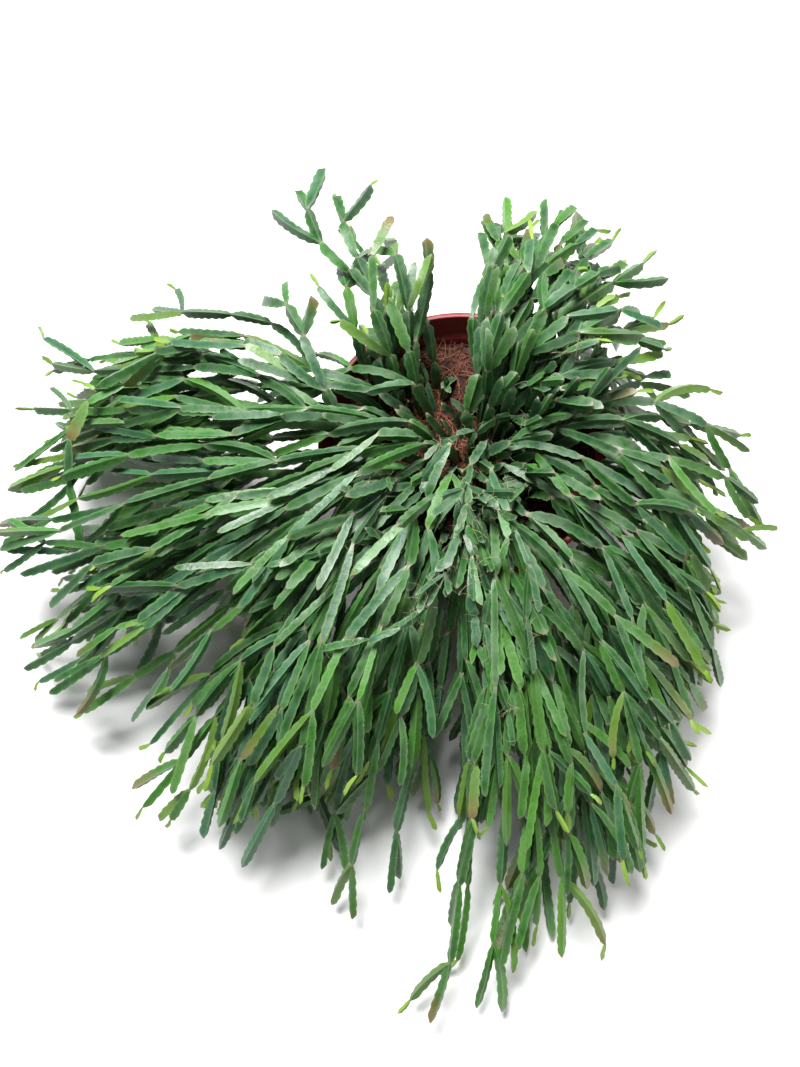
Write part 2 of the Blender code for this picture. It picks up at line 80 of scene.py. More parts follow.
studio = {
    "cameraPlace": (-0.053, -0.3516, 0.9204),
    "cameraTilt": 20,          # degrees from straight down
    "lens": 33.74,
    "floorColour": (0.86, 0.86, 0.85),
    "skyColour": (0.93, 0.97, 1.0),
    "skyStrength": 0.17,
    "overheadPower": 88,
    "overheadSize": 0.8,
    "sidePower": 9,
}


def aimedLight(name, place, size, power, colour=(1, 1, 1)):
    data = bpy.data.lights.new(name, "AREA")
    data.shape = "DISK"
    data.size = size
    data.energy = power
    data.color = colour
    made = bpy.data.objects.new(name, data)
    made.location = place
    made.rotation_euler = (-Vector(place)).to_track_quat("-Z", "Y").to_euler()
    bpy.context.scene.collection.objects.link(made)
    return made


def buildStudio():
    scene = bpy.context.scene
    camera = bpy.data.objects.new("camera", bpy.data.cameras.new("camera"))
    camera.data.lens = studio["lens"]
    camera.location = studio["cameraPlace"]
    camera.rotation_euler = (math.radians(studio["cameraTilt"]), 0, 0)
    scene.collection.objects.link(camera)
    scene.camera = camera
    world = bpy.data.worlds.new("sky")
    world.use_nodes = True
    background = world.node_tree.nodes["Background"]
    background.inputs["Color"].default_value = (*studio["skyColour"], 1)
    background.inputs["Strength"].default_value = studio["skyStrength"]
    scene.world = world
    aimedLight("overhead", (-0.35, 0.55, 1.9), studio["overheadSize"], studio["overheadPower"])
    aimedLight("side", (1.3, -0.7, 1.1), 1.2, studio["sidePower"], (1, 0.98, 0.94))
    scene.view_settings.view_transform = "Standard"
    half = 6.0
    corners = [(-half, -half, 0), (half, -half, 0), (half, half, 0), (-half, half, 0)]
    floor = meshObject("floor", corners, [(0, 1, 2, 3)])
    paint, tree, shader = newMaterial("floorPaint")
    shader.inputs["Base Color"].default_value = (*studio["floorColour"], 1)
    shader.inputs["Roughness"].default_value = 0.8
    floor.data.materials.append(paint)
    print("studio: camera, floor and lights")


# Objects and node trees


def meshObject(name, points, faces, edges=()):
    mesh = bpy.data.meshes.new(name)
    mesh.from_pydata([tuple(p) for p in points], edges, faces)
    made = bpy.data.objects.new(name, mesh)
    bpy.context.scene.collection.objects.link(made)
    return made


def putAttribute(obj, name, values):
    # One value for each point; tuples make a vector attribute.
    isVector = not isinstance(values[0], (int, float))
    layer = obj.data.attributes.new(name, "FLOAT_VECTOR" if isVector else "FLOAT", "POINT")
    if isVector:
        layer.data.foreach_set("vector", [x for v in values for x in v])
    else:
        layer.data.foreach_set("value", values)


def put(tree, kind, feeds=None, **settings):
    # Adds a node. feeds names its inputs, each with a socket to link or a plain value.
    node = tree.nodes.new(kind)
    for name, value in settings.items():
        setattr(node, name, value)
    for key, value in (feeds or {}).items():
        feed(tree, node.inputs[key], value)
    return node


def feed(tree, socket, value):
    if isinstance(value, bpy.types.NodeSocket):
        tree.links.new(value, socket)
    else:
        socket.default_value = value


def maths(tree, operation, *values, clamp=False):
    node = put(tree, "ShaderNodeMath", dict(enumerate(values)), operation=operation)
    node.use_clamp = clamp
    return node.outputs[0]


def vectors(tree, operation, *values):
    node = put(tree, "ShaderNodeVectorMath", operation=operation)
    keys = (0, "Scale") if operation == "SCALE" else (0, 1, 2)
    for key, value in zip(keys, values):
        feed(tree, node.inputs[key], value)
    return node.outputs["Value" if operation in ("DOT_PRODUCT", "LENGTH") else "Vector"]


def newTree(name, kind, inputs, outputs):
    tree = bpy.data.node_groups.new(name, kind)
    for label, socket, value in inputs:
        made = tree.interface.new_socket(name=label, in_out="INPUT", socket_type=socket)
        if value is not None:
            made.default_value = value
    for label, socket in outputs:
        tree.interface.new_socket(name=label, in_out="OUTPUT", socket_type=socket)
    return tree, tree.nodes.new("NodeGroupInput").outputs, tree.nodes.new("NodeGroupOutput").inputs


def runTree(obj, tree, values):
    # Sets the modifier's inputs by identifier, then keeps its result as the object's plain mesh.
    modifier = obj.modifiers.new(tree.name, "NODES")
    modifier.node_group = tree
    for item in tree.interface.items_tree:
        if item.in_out == "INPUT" and item.name in values:
            modifier[item.identifier] = values[item.name]
    bpy.context.view_layer.update()
    graph = bpy.context.evaluated_depsgraph_get()
    mesh = bpy.data.meshes.new_from_object(obj.evaluated_get(graph), depsgraph=graph)
    obj.modifiers.clear()
    old = obj.data
    obj.data = mesh
    bpy.data.meshes.remove(old)
    mesh.name = obj.name
    return obj


def dropAttributes(obj, names):
    for name in names:
        layer = obj.data.attributes.get(name)
        if layer:
            obj.data.attributes.remove(layer)


def newMaterial(name):
    made = bpy.data.materials.new(name)
    made.use_nodes = True
    return made, made.node_tree, made.node_tree.nodes["Principled BSDF"]


# The pot's and the mix's sizes

potSizes = {
    "height": 0.180,
    "rimRadius": 0.120,
    "bandRadius": 0.1165,
    "bandHeight": 0.026,
    "neckRadius": 0.1130,
    "footRadius": 0.084,
    "footRound": 0.002,
    "wall": 0.0024,
    "floor": 0.0035,
    "lipHeight": 0.0045,
    "drainRadius": 0.005,
    "drainCircle": 0.060,
    "drainCount": 6,
    "sides": 144,
}

mixSizes = {
    "top": 0.148,
    "gap": 0.0006,
    "rings": 34,
    "sides": 120,
    "bumps": 0.0035,
    "chipsPerSquareMetre": 70000,
    "chipSize": (0.35, 1.15),
    "chipTilt": 1.0,
    "fibresPerSquareMetre": 30000,
    "fibreSize": (0.4, 1.3),
    "seed": 5,
}

# How the leafy stems grow. The CAD stems follow the same rule, so each fine stem lies where its node does.

growth = {
    "seed": 132,
    "pegDepth": 0.016,
    "pegRadius": 0.0022,
    "rootSpacing": 0.011,
    "groundClear": 0.0075,
    "lowestCorner": 0.0008,
    "clearance": 0.0004,
    "longPiece": 0.070,
    "longStations": ((0.2, 0.92), (0.5, 1.0), (0.8, 0.92)),
    "shortStations": ((0.28, 0.97), (0.72, 0.97)),
    "neckShare": 0.36,
    "forkNeckShare": 0.46,
    "forkShoulder": 0.8,
    "tipShare": 0.40,
    "wingAngles": (90, 205, 335),
    "notch": 0.80,
    "bow": 0.8,
    "splitGap": 0.00025,
    "courseSteps": 60,
    "forkOpening": 0.05,
    "mainTries": 160,
    "forkTries": 14,
    "farEvery": 3,
    "farReach": (0.93, 1.0),
}

# stems: how many. heads: compass angles they head for. roots: compass angles they stand at.
# rooted: how far from the axis. reach: how far the tips lie out, as a share of the thick part. One stem in
# farEvery goes out to the furthest tips instead.
# tip: the tips' height. lift: how high they rise from the mix. sag: how steeply they come down.
# piece: length of a stem piece. wing: from its middle to a wing's edge. longForks, shortForks: side branches.
Sheaf = namedtuple("Sheaf", "name stems heads roots rooted reach tip lift sag piece wing longForks shortForks")
longThin = ((0.052, 0.076), (0.0052, 0.0067))
middling = ((0.046, 0.066), (0.0054, 0.0068))
shortBroad = ((0.034, 0.052), (0.0062, 0.0077))
sheaves = (
    Sheaf("left", 11, (150, 203), (130, 215), (0.01, 0.085), (0.66, 1.02), (0.05, 0.13), (0.06, 0.12),
          (0.03, 0.085), *longThin, 2, 4),
    Sheaf("front_left", 9, (203, 246), (205, 250), (0.008, 0.085), (0.62, 1.02), (0.02, 0.10), (0.06, 0.12),
          (0.03, 0.085), *longThin, 2, 4),
    Sheaf("front", 10, (246, 292), (240, 305), (0.0, 0.075), (0.58, 1.02), (0.008, 0.06), (0.05, 0.11),
          (0.03, 0.085), *longThin, 2, 4),
    Sheaf("front_right", 7, (292, 332), (290, 335), (0.015, 0.09), (0.66, 1.02), (0.02, 0.10), (0.06, 0.11),
          (0.03, 0.085), *middling, 2, 4),
    Sheaf("right", 6, (332, 374), (330, 385), (0.01, 0.085), (0.7, 1.02), (0.08, 0.16), (0.06, 0.11),
          (0.03, 0.08), *middling, 2, 4),
    Sheaf("back_right", 8, (18, 84), (15, 75), (0.015, 0.085), (0.7, 1.02), (0.15, 0.25), (0.08, 0.14),
          (0.00, 0.05), *shortBroad, 2, 4),
    Sheaf("back_left", 5, (106, 140), (112, 178), (0.05, 0.097), (0.7, 1.0), (0.17, 0.24), (0.07, 0.12),
          (0.00, 0.05), *shortBroad, 1, 3),
    Sheaf("young", 2, (80, 140), (95, 130), (0.035, 0.065), (0.30, 0.37), (0.17, 0.19), (0.01, 0.03),
          (0.00, 0.01), (0.022, 0.032), (0.0034, 0.0044), 0, 2),
)

# By compass angle, how far from the pot's axis the plant is thick and how far its furthest tips lie
outline = ((-15, 0.21, 0.28), (0, 0.22, 0.265), (15, 0.165, 0.195), (30, 0.175, 0.20), (60, 0.20, 0.23),
           (82, 0.20, 0.24), (97, 0.14, 0.22), (112, 0.20, 0.25), (127, 0.19, 0.24), (142, 0.16, 0.20),
           (150, 0.17, 0.33), (157, 0.28, 0.375), (165, 0.365, 0.395), (180, 0.385, 0.42), (195, 0.36, 0.415),
           (203, 0.38, 0.42), (210, 0.30, 0.405), (218, 0.25, 0.39), (226, 0.35, 0.39), (234, 0.36, 0.385),
           (241, 0.32, 0.38), (250, 0.295, 0.40), (259, 0.28, 0.41), (264, 0.29, 0.45), (270, 0.34, 0.445),
           (277, 0.395, 0.45), (285, 0.36, 0.41), (292, 0.325, 0.385), (300, 0.30, 0.345), (315, 0.27, 0.305),
           (330, 0.24, 0.28), (345, 0.21, 0.28), (360, 0.22, 0.265), (375, 0.165, 0.195))

# The rest of the plant: stems and forks past those the CAD holds, close beside them.
# bare: places where the mix shows between the stems, as x, y and the radii along them.
thatch = {
    "seed": 3,
    "pieces": 2360,
    "stems": (("left", 10, (0.3, 1.0)), ("front_left", 9, (0.3, 1.0)), ("front", 10, (0.3, 1.0)),
              ("front_right", 9, (0.35, 1.0)), ("right", 8, (0.4, 1.0)), ("back_right", 10, (0.5, 1.0)),
              ("back_left", 6, (0.6, 1.0)), ("crown", 40, (0.2, 0.62))),
    "edge": 0.93,              # how far out they go, as a share of the thick part
    "farShare": 0.12,          # how many of them may go out to the furthest tips
    "opening": (6, 34),        # degrees between a fork and the chain it leaves
    "bow": 0.35,               # how far the pieces bend, as a share of the CAD pieces' bend
    "kink": 0.0034,            # how far a joint may lie off the course
    "turn": 1.6,               # how much more the pieces are turned about their length
    "stray": 0.024,            # how far they stand from the CAD's stems
    "sink": 0.0018,            # how far a wing may sink into a neighbour's
    "rootSpacing": 0.006,
    "boxMargin": 0.005,
    "stemDraws": 12,
    "forkDraws": 6,
    "tries": 9000,
    "cell": 0.006,
    "shadeAllowed": (0.6, 5.5),
    "clump": 3.0,              # how much thinner the thatch gets between its clumps
    "clumpSize": 0.036,
    "bareCost": 9,
    "bare": ((-0.026, 0.074, 0.042, 0.040), (0.100, 0.012, 0.019, 0.028), (0.067, -0.056, 0.012, 0.032),
             (-0.072, 0.040, 0.034, 0.026), (-0.014, 0.006, 0.034, 0.016), (-0.271, -0.027, 0.039, 0.027),
             (-0.201, -0.149, 0.027, 0.033), (-0.019, -0.253, 0.013, 0.030), (-0.066, -0.315, 0.028, 0.039),
             (0.035, -0.263, 0.013, 0.020), (0.018, -0.316, 0.017, 0.024), (0.079, -0.330, 0.008, 0.037)),
    # by compass angle, how far the thatch goes out, as a share of the outline
    "swell": ((-15, 1.06), (0, 1.06), (15, 1.0), (60, 1.0), (82, 1.05), (92, 1.4), (104, 1.1), (112, 0.8),
              (127, 0.8), (140, 1.1), (150, 1.6), (157, 1.15), (165, 1.02), (200, 1.0), (214, 0.95), (224, 1.0),
              (232, 1.05), (246, 1.04), (256, 0.96), (270, 0.95), (288, 0.96), (300, 1.04), (315, 1.14),
              (330, 1.14), (345, 1.06), (375, 1.0)),
    "youngShare": 0.45,
    "youngFrom": 0.82,         # young tips stand past this share of the thick part
    "youngLength": (0.009, 0.024),
    "youngWing": (0.0022, 0.0034),
}
crown = Sheaf("crown", 0, (150, 385), (130, 400), (0.0, 0.095), (0, 0), (0.150, 0.178), (0.012, 0.055),
              (0.00, 0.02), (0.018, 0.040), (0.0040, 0.0058), 0, 0)
crownStray = 0.6               # how far round from its heading a crown stem may stand

Piece = namedtuple("Piece", "base tip bow roll wing keel")


class Chain:
    # Stem pieces end to end along a course. forks holds side chains by the number of pieces before each.
    def __init__(self, course, pieces, bodies, room, kind="stem"):
        self.course = course
        self.pieces = pieces
        self.taken = [room.add(*body) for body in bodies]
        self.forks = {}
        self.extra = []        # (joint, chain) past the forks that the CAD has
        self.kind = kind


class Stem:
    def __init__(self, name, sheaf, root, left, chain):
        self.name = name
        self.sheaf = sheaf
        self.root = root
        self.left = left
        self.chain = chain


def compass(degrees):
    angle = math.radians(degrees)
    return Vector((math.cos(angle), math.sin(angle), 0))


def rowAt(rows, heading):
    # What rows give at a compass angle, blended between the two rows beside it
    for (a, *here), (b, *there) in zip(rows, rows[1:]):
        if a <= heading <= b:
            share = (heading - a) / (b - a)
            return [near + (far - near) * share for near, far in zip(here, there)]
    return rows[-1][1:]


def thatchReach(heading):
    return [reach * rowAt(thatch["swell"], heading)[0] for reach in rowAt(outline, heading)]


def aboveSurface(point):
    point.z = max(point.z, growth["groundClear"])
    return point


# Courses: the lines that the stems follow


def archCourse(root, heading, reach, tip, lift, sag, sway):
    start = Vector((root.x, root.y, mixSizes["top"]))
    out = compass(heading) * reach - Vector((root.x, root.y, 0))
    span = out.length
    out.normalize()
    aside = up.cross(out)
    above = start + out * (0.10 * span) + up * (lift + 0.5 * (potSizes["rimRadius"] - root.length))
    before = start + out * (0.70 * span) + aside * (sway * span)
    before.z = tip + sag
    end = start + out * span
    end.z = tip
    course = []
    steps = growth["courseSteps"]
    for step in range(steps + 1):
        t = step / steps
        s = 1 - t
        point = start * s**3 + above * (3 * s * s * t) + before * (3 * s * t * t) + end * t**3
        course.append(aboveSurface(point))
    return course


def forkCourse(course, yaw, pitch, length):
    # Leaves another course at its first point, turned aside, and runs on beside it for a length.
    points = [course[0].copy()]
    gone = 0.0
    for here, there in zip(course, course[1:]):
        step = there - here
        fade = math.exp(-gone / growth["forkOpening"])
        aside = up.cross(step).normalized()
        step = Matrix.Rotation(-pitch * fade, 3, aside) @ step
        step = Matrix.Rotation(yaw * fade, 3, "Z") @ step
        points.append(aboveSurface(points[-1] + step))
        gone += step.length
        if gone >= length:
            return points
    way = (points[-1] - points[-2]).normalized()
    points.append(aboveSurface(points[-1] + way * (length - gone)))
    return points


def courseLength(course):
    return sum((b - a).length for a, b in zip(course, course[1:]))


def along(course, distance):
    for a, b in zip(course, course[1:]):
        step = (b - a).length
        if distance <= step and step > 0:
            return a.lerp(b, distance / step)
        distance -= step
    return course[-1].copy()


def restOf(course, joint):
    nearest = min(range(len(course) - 1), key=lambda i: (course[i] - joint).length)
    shift = joint - course[nearest]
    return [point + shift for point in course[nearest:]]


# Pieces: a course cut into stem pieces


def piecesAlong(course, sheaf, rng, older):
    total = courseLength(course)
    count = max(1, round(total / rng.uniform(*sheaf.piece)))
    places = [total * (i + rng.uniform(-0.13, 0.13) * (0 < i < count)) / count for i in range(count + 1)]
    joints = [along(course, place) for place in places]
    for joint in joints[1:]:
        joint += Vector((rng.uniform(-1, 1), rng.uniform(-1, 1), rng.uniform(-1, 1))) * 0.0028
        aboveSurface(joint)
    pieces = []
    for i in range(count):
        middle = along(course, (places[i] + places[i + 1]) / 2)
        bow = (middle - (along(course, places[i]) + along(course, places[i + 1])) / 2) * growth["bow"]
        age = 1 - (i + older) / (count + older)
        wing = rng.uniform(*sheaf.wing) * (0.84 + 0.2 * age)
        roll = rng.uniform(-42, 42)
        keel = rng.uniform(0.5, 0.95)
        pieces.append(Piece(joints[i], joints[i + 1], bow, roll, wing, keel))
    return pieces


def placeOn(piece, t):
    return piece.base.lerp(piece.tip, t) + piece.bow * (4 * t * (1 - t))


def wayOn(piece, t):
    return (piece.tip - piece.base + piece.bow * (4 * (1 - 2 * t))).normalized()


def ring(centre, way, left, roll, reaches):
    side = (left - way * left.dot(way)).normalized()
    top = way.cross(side)
    corners = []
    for angle, reach in zip(growth["wingAngles"], reaches):
        turn = math.radians(angle + roll)
        corners.append(centre + (side * math.cos(turn) + top * math.sin(turn)) * reach)
    return corners


def bodyRings(piece, left, number, narrow=False, extra=0.0):
    long = (piece.tip - piece.base).length > growth["longPiece"]
    rings = []
    for index, (t, share) in enumerate(growth["longStations" if long else "shortStations"]):
        if narrow and index == 0:
            share *= growth["forkShoulder"]
        reaches = []
        for corner in range(3):
            notch = growth["notch"] if (index + corner + number) % 2 else 1
            keel = piece.keel if corner == 0 else 1
            reaches.append(piece.wing * share * notch * keel + extra)
        rings.append(ring(placeOn(piece, t), wayOn(piece, t), left, piece.roll, reaches))
    return rings


def neckRing(before, after, left, share, extra=0.0):
    way = (wayOn(before, 1) + wayOn(after, 0)).normalized()
    reach = min(before.wing, after.wing) * share + extra
    return ring(before.tip, way, left, (before.roll + after.roll) / 2, [reach] * 3)


def tipRing(piece, left, extra=0.0):
    return ring(piece.tip, wayOn(piece, 1), left, piece.roll, [piece.wing * growth["tipShare"] + extra] * 3)


def footRing(piece, left, extra=0.0):
    return ring(piece.base, wayOn(piece, 0), left, piece.roll, [piece.wing * growth["neckShare"] + extra] * 3)


def pegRing(root, left, piece, extra=0.0):
    bottom = Vector((root.x, root.y, mixSizes["top"] - growth["pegDepth"]))
    return ring(bottom, up, left, piece.roll, [growth["pegRadius"] + extra] * 3)


def splitNeck(before, after, fork, left):
    corners = neckRing(before, after, left, growth["forkNeckShare"])
    parting = wayOn(fork, 0) - wayOn(after, 0)
    edges = [(corners[(k + 2) % 3] - corners[(k + 1) % 3]).normalized() for k in range(3)]
    apex = max(range(3), key=lambda k: abs(parting.dot(edges[k])))
    p, q, r = (corners[(apex + k) % 3] for k in range(3))
    edge = edges[apex]
    middle = (q + r) / 2
    gap = edge * growth["splitGap"]
    return apex, [p - gap, q, middle - gap, middle + gap, r, p + gap], parting.dot(edge) < 0


def halfOf(six, first):
    return six[:3] if first else six[3:]


def turnedTo(half, target):
    turns = [half[k:] + half[:k] for k in range(3)]
    return min(turns, key=lambda order: sum((a - b).length for a, b in zip(order, target)))


def tube(rings):
    points = [corner for corners in rings for corner in corners]
    faces = [(2, 1, 0)]
    for i in range(len(rings) - 1):
        for k in range(3):
            a, b = 3 * i + k, 3 * i + (k + 1) % 3
            faces += [(a, b, b + 3), (a, b + 3, a + 3)]
    end = len(points)
    faces.append((end - 3, end - 2, end - 1))
    return points, faces


# Growth: a stem takes only free room


class Room:
    def __init__(self):
        self.trees = []
        self.balls = np.empty((9000, 4))       # for each body its centre and how far it reaches from there

    def add(self, points, faces):
        centre = sum(points, Vector()) / len(points)
        self.balls[len(self.trees)] = (*centre, max((p - centre).length for p in points))
        self.trees.append(BVHTree.FromPolygons(points, faces))
        return len(self.trees) - 1

    def free(self, points, faces, skipped):
        centre = sum(points, Vector()) / len(points)
        reach = max((p - centre).length for p in points)
        balls = self.balls[:len(self.trees)]
        near = np.nonzero(np.linalg.norm(balls[:, :3] - centre, axis=1) <= reach + balls[:, 3])[0]
        tree = BVHTree.FromPolygons(points, faces)
        return not any(number not in skipped and tree.overlap(self.trees[number]) for number in near)


def pieceBodies(pieces, left, root=None, extra=None):
    extra = growth["clearance"] if extra is None else extra
    bodies = []
    for number, piece in enumerate(pieces):
        rings = bodyRings(piece, left, number, extra=extra)
        if number:
            rings.insert(0, neckRing(pieces[number - 1], piece, left, growth["neckShare"], extra))
        else:
            rings.insert(0, footRing(piece, left, extra))
            if root is not None:
                rings.insert(0, pegRing(root, left, piece, extra))
        if number + 1 < len(pieces):
            rings.append(neckRing(piece, pieces[number + 1], left, growth["neckShare"], extra))
        else:
            rings.append(tipRing(piece, left, extra))
        bodies.append(tube(rings))
    return bodies


def clearRun(bodies, room, kin):
    for number, (points, faces) in enumerate(bodies):
        if min(p.z for p in points) < growth["lowestCorner"]:
            return number
        if not room.free(points, faces, kin if number == 0 else ()):
            return number
    return len(bodies)


def partsCleanly(before, after, fork, left):
    apex, six, forkFirst = splitNeck(before, after, fork, left)
    trees = []
    for piece, first, extra in ((after, not forkFirst, 0.0), (fork, forkFirst, 0.0004)):
        rings = bodyRings(piece, left, 0, narrow=True, extra=extra) + [tipRing(piece, left, extra)]
        rings.insert(0, turnedTo(halfOf(six, first), rings[0]))
        trees.append(BVHTree.FromPolygons(*tube(rings)))
    return not trees[0].overlap(trees[1])


def growMain(name, sheaf, place, rng, room, roots):
    best = None
    for attempt in range(growth["mainTries"]):
        stray = rng.uniform(-1, 1) * (0.5 + attempt / growth["mainTries"])
        share = min(max((place + 0.5 + stray) / sheaf.stems, 0), 1)
        heading = sheaf.heads[0] + (sheaf.heads[1] - sheaf.heads[0]) * share
        stand = sheaf.roots[0] + (sheaf.roots[1] - sheaf.roots[0]) * (share + rng.uniform(-0.12, 0.12))
        root = compass(stand) * rng.uniform(*sheaf.rooted)
        if any((root - other).length < growth["rootSpacing"] for other in roots):
            continue
        thick, furthest = rowAt(outline, heading)
        if place % growth["farEvery"] == 1:
            reach = furthest * rng.uniform(*growth["farReach"])
        else:
            reach = thick * rng.uniform(*sheaf.reach)
        course = archCourse(root, heading, reach, rng.uniform(*sheaf.tip),
                            rng.uniform(*sheaf.lift), rng.uniform(*sheaf.sag), rng.uniform(-0.12, 0.12))
        pieces = piecesAlong(course, sheaf, rng, 0)
        left = up.cross(compass(heading))
        bodies = pieceBodies(pieces, left, root)
        run = clearRun(bodies, room, (0,))
        if best is None or run / len(pieces) > best[0]:
            best = (run / len(pieces), run, root, left, course, pieces, bodies)
        if best[0] == 1:
            break
    share, run, root, left, course, pieces, bodies = best
    if run == 0:
        return None
    roots.append(root)
    return Stem(name, sheaf, root, left, Chain(course, pieces[:run], bodies[:run], room))


def growFork(stem, chain, joint, wanted, rng, room):
    before, after = chain.pieces[joint - 1], chain.pieces[joint]
    rest = restOf(chain.course, after.base)
    kin = chain.taken[joint - 1:joint + 1]
    best = None
    for _ in range(growth["forkTries"]):
        length = sum(rng.uniform(*stem.sheaf.piece) for _ in range(wanted))
        yaw = math.radians(rng.choice((-1, 1)) * rng.uniform(26, 58))
        course = forkCourse(rest, yaw, math.radians(rng.uniform(-24, 24)), length)
        pieces = piecesAlong(course, stem.sheaf, rng, joint)
        if not partsCleanly(before, after, pieces[0], stem.left):
            continue
        bodies = pieceBodies(pieces, stem.left)
        run = clearRun(bodies, room, kin)
        if run and (best is None or run > best[0]):
            best = (run, course, pieces, bodies)
        if run == len(pieces):
            break
    if best is None:
        return None
    run, course, pieces, bodies = best
    chain.forks[joint] = Chain(course, pieces[:run], bodies[:run], room)
    return chain.forks[joint]


def growLongForks(stem, rng, room):
    joints = list(range(1, max(2, len(stem.chain.pieces) // 2 + 1)))
    rng.shuffle(joints)
    made = 0
    for joint in joints:
        if made == stem.sheaf.longForks or joint >= len(stem.chain.pieces):
            break
        wanted = max(1, len(stem.chain.pieces) - joint - rng.choice((0, 1, 1, 2)))
        made += growFork(stem, stem.chain, joint, wanted, rng, room) is not None


def growShortForks(stem, rng, room):
    chains = [stem.chain] + list(stem.chain.forks.values())
    places = [(chain, joint) for chain in chains for joint in range(1, len(chain.pieces))]
    places = [(chain, joint) for chain, joint in places if joint not in chain.forks]
    places.sort(key=lambda place: len(place[0].pieces) - place[1] + 1.6 * rng.random())
    made = 0
    for chain, joint in places:
        if made == stem.sheaf.shortForks:
            break
        made += growFork(stem, chain, joint, 1, rng, room) is not None


def growCadStems(room):
    # The draws' names are those of the CAD rule, so that both grow the same stems.
    roots, stems = [], []
    for sheaf in sheaves:
        rng = random.Random(f"{growth['seed']} {sheaf.name}")
        for place in range(sheaf.stems):
            stem = growMain(f"stem_{sheaf.name}_{place + 1}", sheaf, place, rng, room, roots)
            if stem:
                stems.append(stem)
    for grow, drawName in ((growLongForks, "grow_long_forks"), (growShortForks, "grow_short_forks")):
        for stem in stems:
            grow(stem, random.Random(f"{growth['seed']} {stem.name} {drawName}"), room)
    return stems, roots


# The rest of the thatch: further stems and forks take the places that the photo's camera sees least covered

eye = Vector(studio["cameraPlace"])


def seenAt(point, height):
    # The point of this height that the photo shows in the same place
    return eye + (point - eye) * ((eye.z - height) / (eye.z - point.z))


def reachSeen(point):
    # How far out the photo shows a point, as a share of the thick part and of the furthest tips.
    # The tips are high at the back and low at the front.
    angle = math.atan2(point.y, point.x)
    seen = seenAt(point, 0.116 + 0.0175 * math.cos(angle) + 0.0855 * math.sin(angle))
    heading = math.degrees(math.atan2(seen.y, seen.x))
    heading += 360 if heading < outline[0][0] else 0
    thick, furthest = thatchReach(heading)
    return seen.xy.length / thick, seen.xy.length / furthest


class Shade:
    def __init__(self, pieces):
        self.cells = {}
        self.add(pieces)
        self.cad = KDTree(5 * len(pieces))
        for number, (point, _) in enumerate(self.spots(pieces)):
            self.cad.insert(point, number)
        self.cad.balance()

    def spots(self, pieces):
        for piece in pieces:
            for t in (0.1, 0.3, 0.5, 0.7, 0.9):
                point = placeOn(piece, t)
                seen = seenAt(point, 0.1)
                yield point, (math.floor(seen.x / thatch["cell"]), math.floor(seen.y / thatch["cell"]))

    def add(self, pieces):
        for _, cell in self.spots(pieces):
            self.cells[cell] = self.cells.get(cell, 0) + 1

    def cost(self, pieces):
        total = count = 0
        for point, cell in self.spots(pieces):
            total += self.cells.get(cell, 0)
            count += 1
            seen = seenAt(point, mixSizes["top"])
            total += thatch["clump"] * fieldNoise.noise(Vector((seen.x, seen.y, 0)) / thatch["clumpSize"])
            for x, y, across, deep in thatch["bare"]:
                if ((seen.x - x) / across) ** 2 + ((seen.y - y) / deep) ** 2 < 1:
                    total += thatch["bareCost"]
        return total / count

    def wantedRun(self, pieces, far):
        # How many of the pieces stay inside the outline and close to the CAD's stems
        for number, piece in enumerate(pieces):
            tip, middle = piece.tip, placeOn(piece, 0.5)
            limit = 1 if far else thatch["edge"]
            if not insideFrame(tip) or reachSeen(tip)[far] > limit or reachSeen(middle)[far] > limit:
                return number
            if self.cad.find(middle)[2] > thatch["stray"] or self.cad.find(tip)[2] > 1.3 * thatch["stray"]:
                return number
        return len(pieces)


def freeRun(pieces, left, room, kin, root=None):
    bodies = pieceBodies(pieces, left, root, -thatch["sink"])
    return clearRun(bodies, room, kin), bodies


def insideFrame(tip):
    # No tip goes past the box round the CAD solids.
    margin = thatch["boxMargin"]
    sidesClear = all(cadLow[k] + margin < tip[k] < cadHigh[k] - margin for k in (0, 1))
    return sidesClear and tip.z < cadHigh.z - margin


def loosePieces(course, sheaf, rng, older):
    # Straighter pieces than the CAD's, with sharper turns at their joints
    pieces = piecesAlong(course, sheaf, rng, older)
    base = pieces[0].base
    for number, piece in enumerate(pieces):
        off = Vector([rng.uniform(-1, 1) for _ in range(3)]) * thatch["kink"]
        tip = aboveSurface(piece.tip + off)
        pieces[number] = piece._replace(base=base, tip=tip, bow=piece.bow * thatch["bow"],
                                        roll=piece.roll * thatch["turn"])
        base = tip
    return pieces


def growMoreStem(name, sheaf, reachShares, rng, room, roots, shade):
    best = None
    stray = crownStray if sheaf is crown else 0.2
    for _ in range(thatch["stemDraws"]):
        share = rng.random()
        heading = sheaf.heads[0] + (sheaf.heads[1] - sheaf.heads[0]) * share
        stand = sheaf.roots[0] + (sheaf.roots[1] - sheaf.roots[0]) * (share + rng.uniform(-stray, stray))
        root = compass(stand) * rng.uniform(*sheaf.rooted)
        if any((root - other).length < thatch["rootSpacing"] for other in roots):
            continue
        far = rng.random() < thatch["farShare"]
        reach = thatchReach(heading if heading < 375 else heading - 360)[far] * rng.uniform(*reachShares)
        course = archCourse(root, heading, reach, rng.uniform(*sheaf.tip),
                            rng.uniform(*sheaf.lift), rng.uniform(*sheaf.sag), rng.uniform(-0.2, 0.2))
        pieces = loosePieces(course, sheaf, rng, 0)
        left = up.cross(compass(heading))
        run = shade.wantedRun(pieces, far)
        if not run:
            continue
        run, bodies = freeRun(pieces[:run], left, room, (0,), root)
        if not run:
            continue
        score = run / len(pieces) - 0.12 * shade.cost(pieces[:run])
        if best is None or score > best[0]:
            best = (score, run, root, left, course, pieces, bodies)
    if best is None:
        return None
    _, run, root, left, course, pieces, bodies = best
    roots.append(root)
    shade.add(pieces[:run])
    return Stem(name, sheaf, root, left, Chain(course, pieces[:run], bodies[:run], room))


